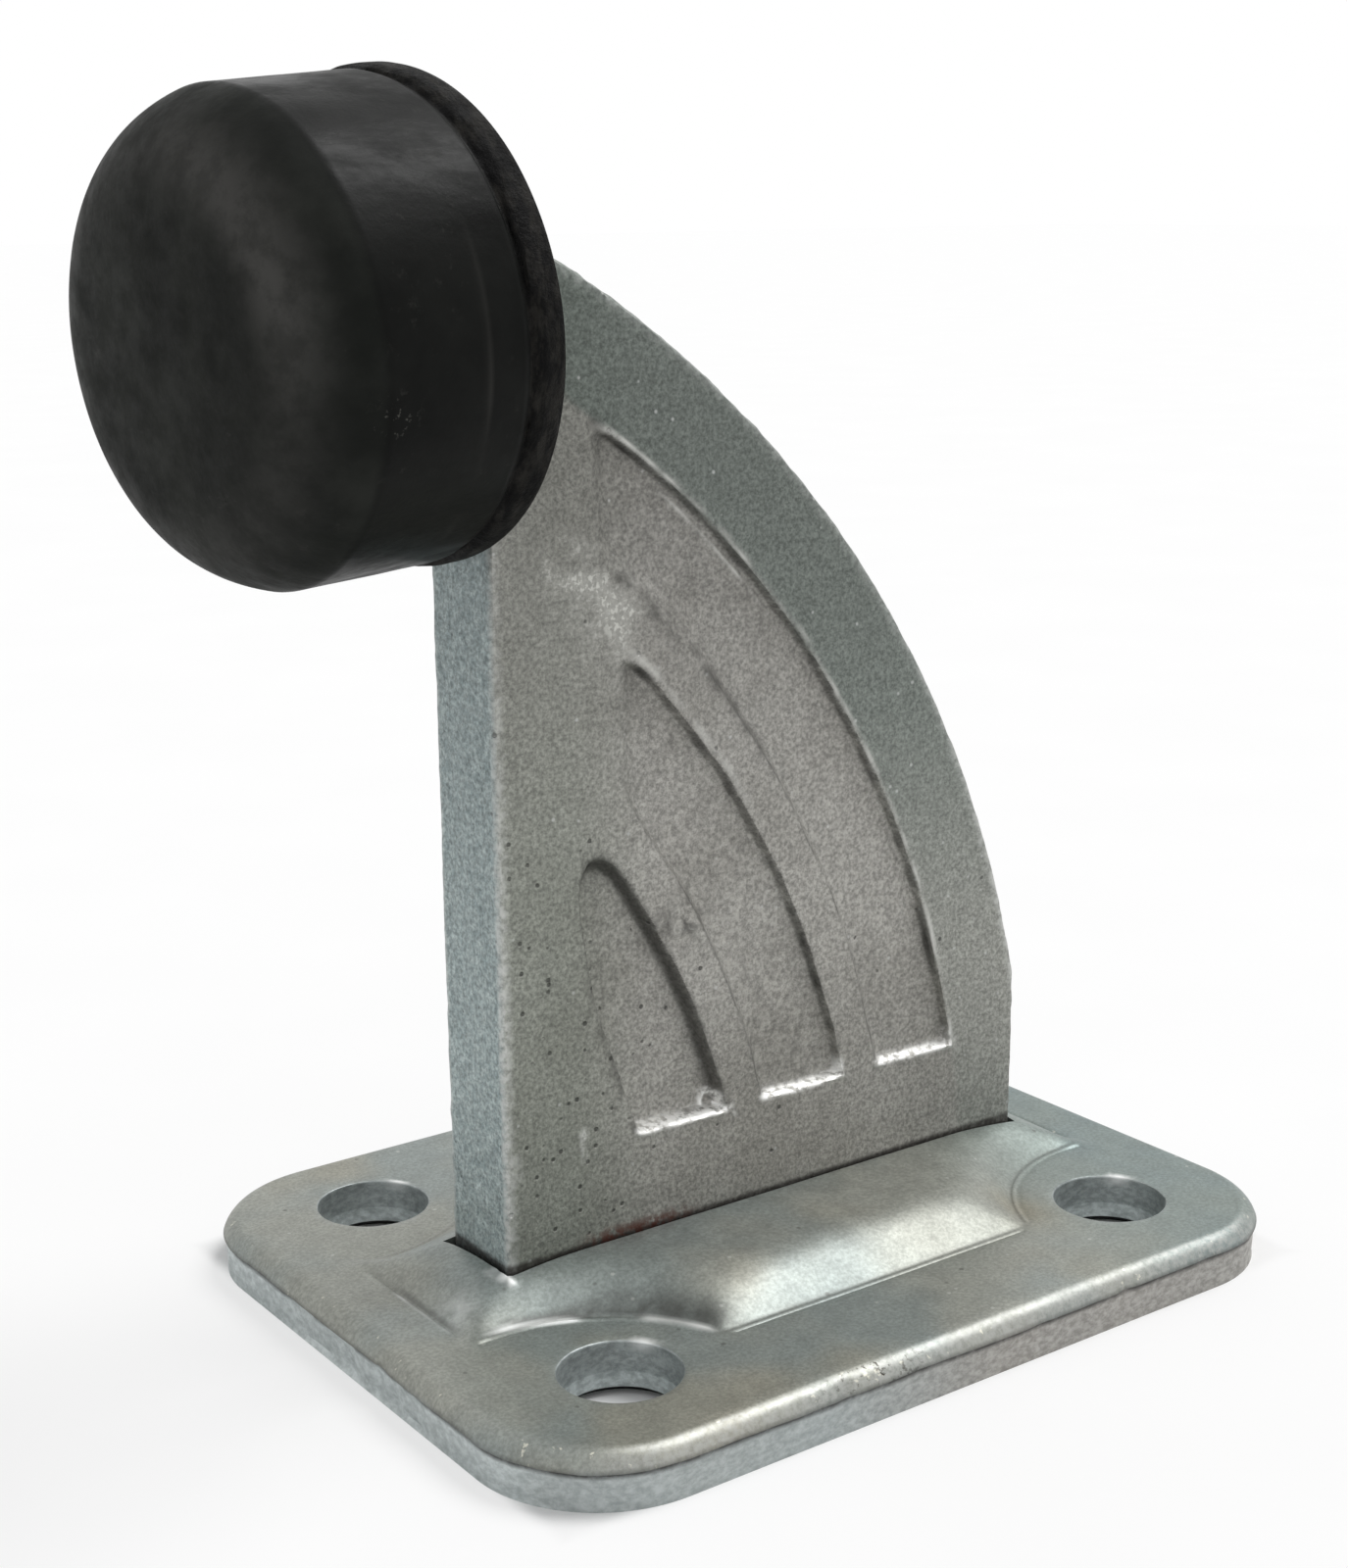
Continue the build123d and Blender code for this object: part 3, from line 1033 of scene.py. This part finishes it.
def build_buffer(material):
    pocket, outside = pocket_profile(), buffer_profile()
    profile = np.vstack([pocket, outside])
    loose = np.repeat([0.0, 1.0], [len(pocket) + 1, len(outside) - 1])
    ends = np.array([[0, 0, profile[0, 1]], [0, 0, body_length + nose_length]])
    local = np.vstack([*buffer_rings(profile, loose), ends])
    turned, origin = buffer_matrix()
    shell = Shell()
    numbers = shell.add((local + (0, 0, buffer_gap)) @ turned.T + origin)
    rows = numbers[:-2].reshape(-1, buffer_segments)
    for first, second in zip(rows, rows[1:]):
        shell.strip(first, second)
    shell.fan(numbers[-2], rows[0][::-1])
    shell.fan(numbers[-1], rows[-1])
    make_piece("buffer_body", shell, "rubber_buffer", material, buffer_marks(local))


# Material helpers

def connect(tree, socket, value):
    """Links a socket to the one that feeds it, or sets it to a number or colour."""
    if isinstance(value, bpy.types.NodeSocket):
        tree.links.new(value, socket)
    else:
        socket.default_value = value


def add(tree, kind, inputs=None, **settings):
    """Adds a shader node. Inputs are numbers, colours or the sockets that feed them."""
    node = tree.nodes.new(kind)
    for name, value in settings.items():
        setattr(node, name, value)
    for name, value in (inputs or {}).items():
        connect(tree, node.inputs[name], value)
    return node


class Finish:
    """A material under construction. Its colour is laid on in layers, each over the ones before."""

    def __init__(self, name):
        self.material = bpy.data.materials.new(name)
        self.material.use_nodes = True
        self.tree = self.material.node_tree
        self.shader = self.tree.nodes["Principled BSDF"]
        self.place = add(self.tree, "ShaderNodeTexCoord").outputs["Object"]

    def mapped(self, seed, stretch=(1, 1, 1)):
        """Object coordinates, moved by a seed and stretched."""
        inputs = {"Vector": self.place, "Location": (seed, seed, seed), "Scale": stretch}
        return add(self.tree, "ShaderNodeMapping", inputs).outputs[0]

    def grain(self, size, detail=3.0, roughness=0.55, stretch=(1, 1, 1), seed=0.0):
        """Noise from 0 to 1 with features of a size in millimetres."""
        inputs = {"Vector": self.mapped(seed, stretch), "Scale": 1 / (size * MM)}
        inputs |= {"Detail": detail, "Roughness": roughness}
        return add(self.tree, "ShaderNodeTexNoise", inputs).outputs["Fac"]

    def spots(self, size, edge, core, seed=0.0):
        """A round spot in each Voronoi cell: its strength, and a number from 0 to 1 for each cell."""
        inputs = {"Vector": self.mapped(seed), "Scale": 1 / (size * MM)}
        node = add(self.tree, "ShaderNodeTexVoronoi", inputs)
        key = add(self.tree, "ShaderNodeSeparateColor", {0: node.outputs["Color"]}).outputs["Red"]
        return self.span(node.outputs["Distance"], edge, core), key

    def mark(self, name):
        return add(self.tree, "ShaderNodeAttribute", attribute_name=name).outputs["Fac"]

    def coordinate(self, axis):
        return add(self.tree, "ShaderNodeSeparateXYZ", {0: self.place}).outputs[axis]

    def span(self, value, low, high, to_low=0.0, to_high=1.0):
        """Maps a range of a value to another range, smoothly."""
        inputs = {"Value": value, "From Min": low, "From Max": high, "To Min": to_low, "To Max": to_high}
        node = add(self.tree, "ShaderNodeMapRange", inputs, interpolation_type="SMOOTHSTEP")
        return node.outputs["Result"]

    def along(self, axis, start, end, to_low=0.0, to_high=1.0):
        """Maps a range of a coordinate in millimetres to another range, smoothly."""
        return self.span(self.coordinate(axis), start * MM, end * MM, to_low, to_high)

    def math(self, operation, first, second):
        return add(self.tree, "ShaderNodeMath", {0: first, 1: second}, operation=operation).outputs[0]

    def sum(self, first, second):
        return self.math("ADD", first, second)

    def times(self, first, second):
        return self.math("MULTIPLY", first, second)

    def more(self, first, second):
        return self.math("GREATER_THAN", first, second)

    def blend(self, amount, first, second, blend_type="MIX"):
        """Mixes two colours, each a socket or a red, green and blue."""
        first, second = ((*value, 1) if isinstance(value, tuple) else value for value in (first, second))
        inputs = {0: amount, 6: first, 7: second}
        return add(self.tree, "ShaderNodeMix", inputs, data_type="RGBA", blend_type=blend_type).outputs[2]

    def paint(self, amount, colour, strength=1.0):
        """Lays a colour over the ones before. The amount is a socket or the name of a mark."""
        if isinstance(amount, str):
            amount = self.mark(amount)
        self.colour = self.blend(self.times(amount, strength), self.colour, colour)

    def shade(self, factor, amount=1.0):
        """Multiplies the colour by a number or a colour."""
        self.colour = self.blend(amount, self.colour, factor, "MULTIPLY")

    def speckle(self, grain, dark, light):
        """Makes the colour darker and lighter with a grain."""
        self.shade(self.span(grain, 0.3, 0.7, dark, light))

    def bump(self, height, distance, normal=None):
        """A bump whose height of 1 stands for a distance in millimetres."""
        inputs = {"Height": height, "Distance": distance * MM}
        if normal:
            inputs["Normal"] = normal
        return add(self.tree, "ShaderNodeBump", inputs).outputs["Normal"]

    def feed(self, **sockets):
        """Sets or links inputs of the shader, named with underscores for spaces."""
        for name, value in sockets.items():
            connect(self.tree, self.shader.inputs[name.replace("_", " ")], value)


# Plate's material

def plate_ground(finish):
    """Blue-green and yellow tints, painted shade that darkens the right end, fine specks, dark spots and pale
    dust.
    """
    tint = finish.span(finish.grain(20, 2.0), 0.38, 0.62)
    finish.colour = finish.blend(tint, (0.240, 0.270, 0.258), (0.285, 0.293, 0.260))
    finish.paint(finish.span(finish.grain(24, 2.0, seed=0.31), 0.52, 0.70), (0.305, 0.288, 0.228), 0.6)
    finish.paint("warm", (0.27, 0.225, 0.15), 0.6)
    # Painted shade: the plate's right end is painted darker and bluer.
    finish.shade((0.74, 0.84, 0.88), finish.along("X", 12, 34))
    finish.speckle(finish.grain(2.6, 4.0, 0.6), 0.92, 1.07)
    finish.speckle(finish.grain(0.4, 3.0, 0.7), 0.82, 1.18)
    dark, key = finish.spots(1.5, 0.22, 0.10, 0.2)
    finish.paint(finish.times(dark, finish.more(0.05, key)), (0.06, 0.058, 0.052), 0.55)
    dust, key = finish.spots(1.1, 0.24, 0.10, 0.6)
    finish.paint(finish.times(dust, finish.more(key, 0.975)), (0.55, 0.56, 0.53), 0.5)


def plate_walls(finish):
    """Streaked walls of the sheared edge and of the bolt holes, with painted light on the left end's wall,
    and the holes' broken-out bottom edge painted black as shade.
    """
    streak = finish.span(finish.grain(0.6, 4.0, 0.7, (0.6, 0.6, 1)), 0.32, 0.70)
    bluish = finish.along("X", 5, -20)
    dark = finish.blend(bluish, (0.28, 0.268, 0.248), (0.34, 0.375, 0.375))
    light = finish.blend(bluish, (0.50, 0.485, 0.46), (0.52, 0.56, 0.56))
    # Painted light: the wall at the plate's left end is painted lighter.
    left_end_painted_light = finish.along("X", -42, -44.5, 1.0, 1.3)
    wall = finish.blend(1.0, finish.blend(streak, dark, light), left_end_painted_light, "MULTIPLY")
    finish.paint("wall", wall, 0.9)
    land = finish.along("Z", hole_land + 0.1, hole_land - 0.1, 1.0, 1.45)
    hole = finish.blend(streak, (0.23, 0.255, 0.255), (0.42, 0.46, 0.46))
    finish.paint("hole", finish.blend(1.0, hole, land, "MULTIPLY"), 0.9)
    # Painted shade: the holes' broken-out bottom edge is painted black.
    finish.paint("breakout_shade", (0.012, 0.012, 0.012))


def plate_wear_and_painted_light(finish):
    """Painted shade in the creases, smudges with painted dark reflection, the rolled edge's flaked and
    chipped places and painted highlight, painted shade along the shear line, and bare drips with painted
    highlights.
    """
    # Painted shade along the plinth's foot line.
    finish.paint("crease_shade", (0.10, 0.10, 0.09), 0.30)
    # Dark smudges with painted dark reflection, and painted shade along the left end's foot.
    finish.paint("smudge_and_shade", (0.060, 0.060, 0.055), 0.75)
    # Painted highlight on the near side's rolled edge.
    near_roll_highlight = finish.span(finish.grain(0.7, 4.0, 0.7, seed=0.55), 0.3, 0.7, 0.15, 0.75)
    finish.paint("near_roll_highlight", (0.44, 0.445, 0.425), near_roll_highlight)
    soot = finish.span(finish.grain(0.8, 4.0, 0.7, seed=0.75), 0.54, 0.62)
    finish.paint("flake", (0.05, 0.045, 0.035), soot)
    # Bright chips on the rolled edge, partly bare metal and partly painted highlight specks.
    chance = finish.sum(finish.grain(0.9, 3.0, seed=0.45), finish.times(finish.mark("flake"), 0.10))
    finish.paint(finish.times(finish.mark("roll"), finish.span(chance, 0.66, 0.73)), (0.72, 0.70, 0.60), 0.7)
    # Painted shade along the shear line and in the nicks.
    broken = finish.span(finish.grain(1.5, 4.0, 0.7, seed=0.9), 0.32, 0.55, 0.75, 1)
    finish.paint("shear_shade", (0.030, 0.028, 0.026), broken)
    # Bare plating drips and painted highlights on the hole rims, the press lines, the left end's foot and the
    # left slope.
    finish.paint("drip_and_highlight", (0.90, 0.91, 0.90))


def plate_finish():
    """Satin zinc plating with pale blue-green and yellow tints."""
    finish = Finish("plate_zinc")
    plate_ground(finish)
    plate_walls(finish)
    plate_wear_and_painted_light(finish)
    wall = finish.mark("wall")
    roughness = finish.span(finish.grain(5, 4.0), 0.3, 0.7, 0.40, 0.48)
    roughness = finish.sum(roughness, finish.times(wall, 0.12))
    fine = finish.bump(finish.grain(0.5, 3.0, 0.6), 0.012)
    torn = finish.times(finish.grain(1.0, 4.0, 0.65, (0.6, 0.6, 1)), wall)
    normal = finish.bump(torn, 0.08, fine)
    finish.feed(Base_Color=finish.colour, Metallic=0.55, Roughness=roughness, Normal=normal)
    return finish.material


# Web's material

def web_ground(finish):
    """Grey faces with painted shade that darkens them towards the top, a greener rim, a bluish front edge and
    a fine grain.
    """
    broad = finish.span(finish.grain(16, 3.0), 0.35, 0.65)
    finish.colour = finish.blend(broad, (0.285, 0.278, 0.256), (0.345, 0.338, 0.315))
    rim = finish.blend(finish.along("Z", 24, 60), (0.290, 0.294, 0.270), (0.200, 0.222, 0.203))
    finish.paint("rim", rim)
    # Painted shade and light: the faces are painted darker towards the top and a little lighter low down.
    finish.shade(finish.along("Z", 30, 85, 1.08, 0.74))
    beside_front = finish.times(finish.along("X", -12, -25), finish.along("Z", 75, 40, 0.5, 1))
    finish.shade((0.74, 0.79, 0.75), beside_front)
    mottle = finish.span(finish.grain(0.8, 5.0, 0.7), 0.30, 0.70)
    front = finish.blend(mottle, (0.225, 0.272, 0.274), (0.355, 0.405, 0.400))
    front_fade = finish.along("Z", 15, 75, 1.14, 0.84)
    finish.paint("front", finish.blend(1.0, front, front_fade, "MULTIPLY"))
    finish.speckle(finish.grain(0.42, 4.0, 0.75), 0.62, 1.38)
    finish.speckle(finish.grain(1.6, 3.0, 0.6, seed=0.65), 0.93, 1.07)


def web_pits(finish):
    """Dark pits, most of them low on the face beside the front edge and high on the front edge."""
    pit, key = finish.spots(0.95, 0.32, 0.16)
    low_left = finish.times(finish.along("X", -10, -22), finish.along("Z", 55, 30))
    upper_front = finish.times(finish.mark("front"), finish.along("Z", 50, 72))
    chance = finish.span(finish.grain(7, 2.0, seed=0.2), 0.40, 0.65, 0.002, 0.020)
    chance = finish.sum(chance, finish.times(low_left, 0.20))
    chance = finish.sum(chance, finish.times(upper_front, 0.25))
    return finish.times(pit, finish.more(chance, key))


def web_wear_and_painted_light(finish):
    """Bright sparks, painted shade and dirt on the grooves' outer walls, their thin dark inner lines, painted
    glints, smears, raised burrs with painted highlight and chipped edges.
    """
    spark, key = finish.spots(0.9, 0.28, 0.1, 0.4)
    key = finish.sum(key, finish.times(finish.mark("rim"), 0.04))
    finish.paint(finish.times(spark, finish.more(key, 0.965)), (0.62, 0.63, 0.62), 0.5)
    # Painted shade and dirt on the grooves' outer walls, dark pits and rough spots.
    finish.paint("wall", (0.045, 0.043, 0.040), 0.75)
    finish.paint("line", (0.07, 0.068, 0.062), 0.7)
    # Painted glints along the grooves' outer edges.
    finish.paint("glint", (0.62, 0.62, 0.59), 0.8)
    finish.paint("smear", (0.46, 0.46, 0.43), 0.45)
    fleck = finish.span(finish.grain(0.55, 3.0, 0.6, seed=0.35), 0.52, 0.60)
    finish.paint(finish.times(finish.mark("smear"), fleck), (0.66, 0.66, 0.62), 0.6)
    # Painted highlight on the raised burrs and the drop's ring.
    ragged = finish.span(finish.grain(0.9, 4.0, 0.65, seed=0.7), 0.38, 0.52, 0.2, 1)
    finish.paint("burr_highlight", (0.92, 0.92, 0.90), ragged)
    chipped = finish.span(finish.grain(0.8, 4.0, 0.65, seed=0.5), 0.38, 0.60, 0.3, 1)
    low = finish.along("Z", 80, 25, 0.3, 0.95)
    finish.paint("edge", (0.62, 0.63, 0.61), finish.times(chipped, low))


def web_foot_line_and_rust(finish):
    """A dark line on the web just above the slot, and a short stretch of rust above it."""
    above_slot = finish.along("Z", 4.0, 6.0)
    foot_line = finish.times(finish.along("Z", 8.9, 8.3), above_slot)
    grain = finish.span(finish.grain(0.6, 3.0), 0.3, 0.6, 0.75, 1)
    finish.paint(finish.times(foot_line, grain), (0.035, 0.030, 0.026), 0.85)
    stretch = finish.times(finish.along("X", -24, -19), finish.along("X", -8, -13))
    rust = finish.times(finish.times(stretch, above_slot), finish.along("Z", 10.0, 8.6))
    grain = finish.span(finish.grain(1.2, 4.0, 0.65, seed=0.15), 0.40, 0.58)
    finish.paint(finish.times(rust, grain), (0.115, 0.034, 0.022), 0.8)


def web_finish():
    """Dull zinc plating over a grainy blasted surface, with pits, raised burrs with painted highlight and a
    bluish front edge.
    """
    finish = Finish("web_zinc")
    web_ground(finish)
    pit = web_pits(finish)
    finish.paint(pit, (0.03, 0.03, 0.028), 0.7)
    web_wear_and_painted_light(finish)
    web_foot_line_and_rust(finish)
    roughness = finish.span(finish.grain(0.6, 3.0), 0.3, 0.7, 0.48, 0.64)
    coarse = finish.bump(finish.grain(0.8, 3.0, 0.6), 0.035)
    fine = finish.bump(finish.grain(0.3, 3.0, 0.7), 0.016, coarse)
    normal = finish.bump(finish.math("SUBTRACT", 1.0, pit), 0.10, fine)
    finish.feed(Base_Color=finish.colour, Metallic=0.8, Roughness=roughness, Normal=normal)
    return finish.material


# Materials of the rubber, the weld and the stud

def rubber_colour(finish):
    """Cloudy black, painted darker on the body than on the nose as shade, a painted sheen on the nose's
    rounded edge, rubbed places, scuffs and a frayed lip.
    """
    cloud = finish.span(finish.grain(8, 5.0, 0.6), 0.35, 0.7)
    finish.colour = finish.blend(cloud, (0.0062, 0.0070, 0.0060), (0.0138, 0.0148, 0.0130))
    # Painted shade: the body is painted darker than the nose.
    finish.shade(finish.span(finish.mark("nose"), 0, 1, 0.45, 1.2))
    patchy = finish.span(finish.grain(3.0, 5.0, 0.65, seed=0.6), 0.36, 0.62, 0.55, 1)
    # Painted sheen on the nose's rounded edge.
    finish.paint("painted_edge_sheen", (0.056, 0.055, 0.052), patchy)
    rubbed = finish.span(finish.grain(1.4, 5.0, 0.7, (1, 0.4, 1)), 0.58, 0.74)
    rubbed = finish.times(rubbed, finish.span(finish.grain(10, 2.0, seed=0.6), 0.46, 0.62))
    finish.paint(rubbed, (0.042, 0.041, 0.038), 0.35)
    finish.paint("band", (0.040, 0.039, 0.036), 0.5)
    fleck = finish.span(finish.grain(0.6, 4.0, 0.65, seed=0.25), 0.58, 0.68)
    finish.paint("scuff", (0.10, 0.10, 0.09), fleck)
    frayed = finish.span(finish.grain(0.9, 5.0, 0.7, (1, 0.3, 0.3)), 0.42, 0.66)
    finish.paint("lip", finish.blend(frayed, (0.003, 0.003, 0.003), (0.018, 0.017, 0.015)))


def rubber_finish():
    """Black moulded rubber with a soft sheen, duller on the nose and on the rough trimmed lip."""
    finish = Finish("buffer_rubber")
    rubber_colour(finish)
    lip = finish.mark("lip")
    roughness = finish.span(finish.grain(2.6, 5.0, 0.7, (0.4, 1, 1)), 0.3, 0.7, 0.28, 0.50)
    dull = finish.math("MAXIMUM", lip, finish.mark("nose"))
    roughness = finish.sum(roughness, finish.times(dull, 0.20))
    broad = finish.bump(finish.grain(2.2, 3.0), 0.04)
    fine = finish.bump(finish.grain(0.35, 4.0, 0.65), 0.014, broad)
    normal = finish.bump(finish.times(finish.grain(0.7, 4.0, 0.7), lip), 0.3, fine)
    finish.feed(Base_Color=finish.colour, Roughness=roughness, Normal=normal, Specular_IOR_Level=0.07)
    return finish.material


def plain_metal_finish(name, dark, light, rust, size):
    """Plated steel for the weld bead and the stud, with a little rust."""
    finish = Finish(name)
    finish.colour = finish.blend(finish.span(finish.grain(size, 4.0, 0.65), 0.35, 0.65), dark, light)
    stain = finish.span(finish.grain(size * 1.7, 5.0, 0.7, seed=0.8), 0.55, 0.72, 0, rust)
    finish.paint(stain, (0.16, 0.062, 0.025))
    roughness = finish.span(finish.grain(size / 2, 3.0), 0.3, 0.7, 0.34, 0.55)
    normal = finish.bump(finish.grain(size / 3), 0.06)
    finish.feed(Base_Color=finish.colour, Metallic=0.9, Roughness=roughness, Normal=normal)
    return finish.material


def paint_node(node, material):
    """Gives a CAD node that stays in view its material."""
    mesh = frame["nodes"][node].data
    mesh.materials.clear()
    mesh.materials.append(material)


# Stage: white floor, soft studio light and the photograph's camera

def floor_finish():
    """A pale floor that the camera sees as white, apart from the shadow and what the bolt holes show."""
    finish = Finish("stage_floor")
    tone = finish.span(finish.grain(40, 2.0), 0.3, 0.7)
    colour = finish.blend(tone, (0.89, 0.89, 0.89), (0.91, 0.91, 0.91))
    finish.feed(Base_Color=colour, Roughness=0.9, Specular_IOR_Level=0.1)
    beside = []
    for axis in (0, 1):
        reach = finish.math("ABSOLUTE", finish.coordinate(axis), 0)
        edge = plate_high[axis] * MM
        beside.append(finish.span(reach, edge - 0.002, edge))
    open_floor = finish.math("MAXIMUM", *beside)
    path = add(finish.tree, "ShaderNodeLightPath")
    amount = finish.times(finish.times(path.outputs["Is Camera Ray"], open_floor), 0.6)
    glow = add(finish.tree, "ShaderNodeEmission", {"Color": (1, 1, 1, 1), "Strength": 1.0})
    shaders = {0: amount, 1: finish.shader.outputs[0], 2: glow.outputs[0]}
    mixed = add(finish.tree, "ShaderNodeMixShader", shaders)
    finish.tree.links.new(mixed.outputs[0], finish.tree.nodes["Material Output"].inputs["Surface"])
    return finish.material


def build_floor():
    size = 6.0
    mesh = bpy.data.meshes.new("floor")
    corners = [(-size, -size, 0), (size, -size, 0), (size, size, 0), (-size, size, 0)]
    mesh.from_pydata(corners, [], [(0, 1, 2, 3)])
    mesh.materials.append(floor_finish())
    floor = bpy.data.objects.new("floor", mesh)
    bpy.context.scene.collection.objects.link(floor)


def build_world():
    """A white surround, dimmer as a light than as the camera and reflections see it."""
    world = bpy.data.worlds.new("studio")
    bpy.context.scene.world = world
    world.use_nodes = True
    tree = world.node_tree
    path = add(tree, "ShaderNodeLightPath").outputs
    seen = path["Is Camera Ray"]
    for kind in ("Is Glossy Ray", "Is Transmission Ray"):
        seen = add(tree, "ShaderNodeMath", {0: seen, 1: path[kind]}, operation="MAXIMUM").outputs[0]
    strength = add(tree, "ShaderNodeMapRange", {"Value": seen, "To Min": 0.6, "To Max": 1.0})
    background = tree.nodes["Background"]
    background.inputs["Color"].default_value = (1, 1, 1, 1)
    tree.links.new(strength.outputs[0], background.inputs["Strength"])


def add_key_light(direction, strength, angle):
    """A distant round softbox: its light comes from every direction within an angle in degrees."""
    lamp = bpy.data.lights.new("key", "SUN")
    lamp.energy = strength
    lamp.angle = math.radians(angle)
    piece = bpy.data.objects.new("key", lamp)
    bpy.context.scene.collection.objects.link(piece)
    toward = Vector(direction).normalized()
    piece.location = toward
    piece.rotation_mode = "QUATERNION"
    piece.rotation_quaternion = (-toward).to_track_quat("-Z", "Y")


def build_camera():
    """The photograph's viewpoint, from a fit to the plate's edges, bolt holes and web."""
    eye = Vector((-134.519, -175.624, 103.681)) * MM
    right = Vector((0.80960, -0.58690, -0.00923))
    up = Vector((0.14890, 0.19014, 0.97040))
    back = Vector((-0.56778, -0.78701, 0.24133))
    focal_pixels, long_side, sensor = 2404.6, 1600, 36.0
    data = bpy.data.cameras.new("photo_camera")
    data.sensor_width = sensor
    data.lens = focal_pixels / long_side * sensor
    data.clip_start, data.clip_end = 0.01, 50
    camera = bpy.data.objects.new("photo_camera", data)
    bpy.context.scene.collection.objects.link(camera)
    camera.matrix_world = Matrix.Translation(eye) @ Matrix((right, up, back)).transposed().to_4x4()
    bpy.context.scene.camera = camera


build_plate(plate_finish())
build_web(web_finish())
build_buffer(rubber_finish())
paint_node("foot_weld", plain_metal_finish("weld_metal", (0.16, 0.15, 0.14), (0.34, 0.33, 0.31), 0.6, 1.5))
paint_node("buffer_stud", plain_metal_finish("stud_steel", (0.36, 0.37, 0.37), (0.48, 0.49, 0.48), 0.2, 2.5))
build_floor()
build_world()
add_key_light((0.52, -0.10, 0.85), strength=1.8, angle=32)
build_camera()
bpy.context.scene.view_settings.view_transform = "Standard"
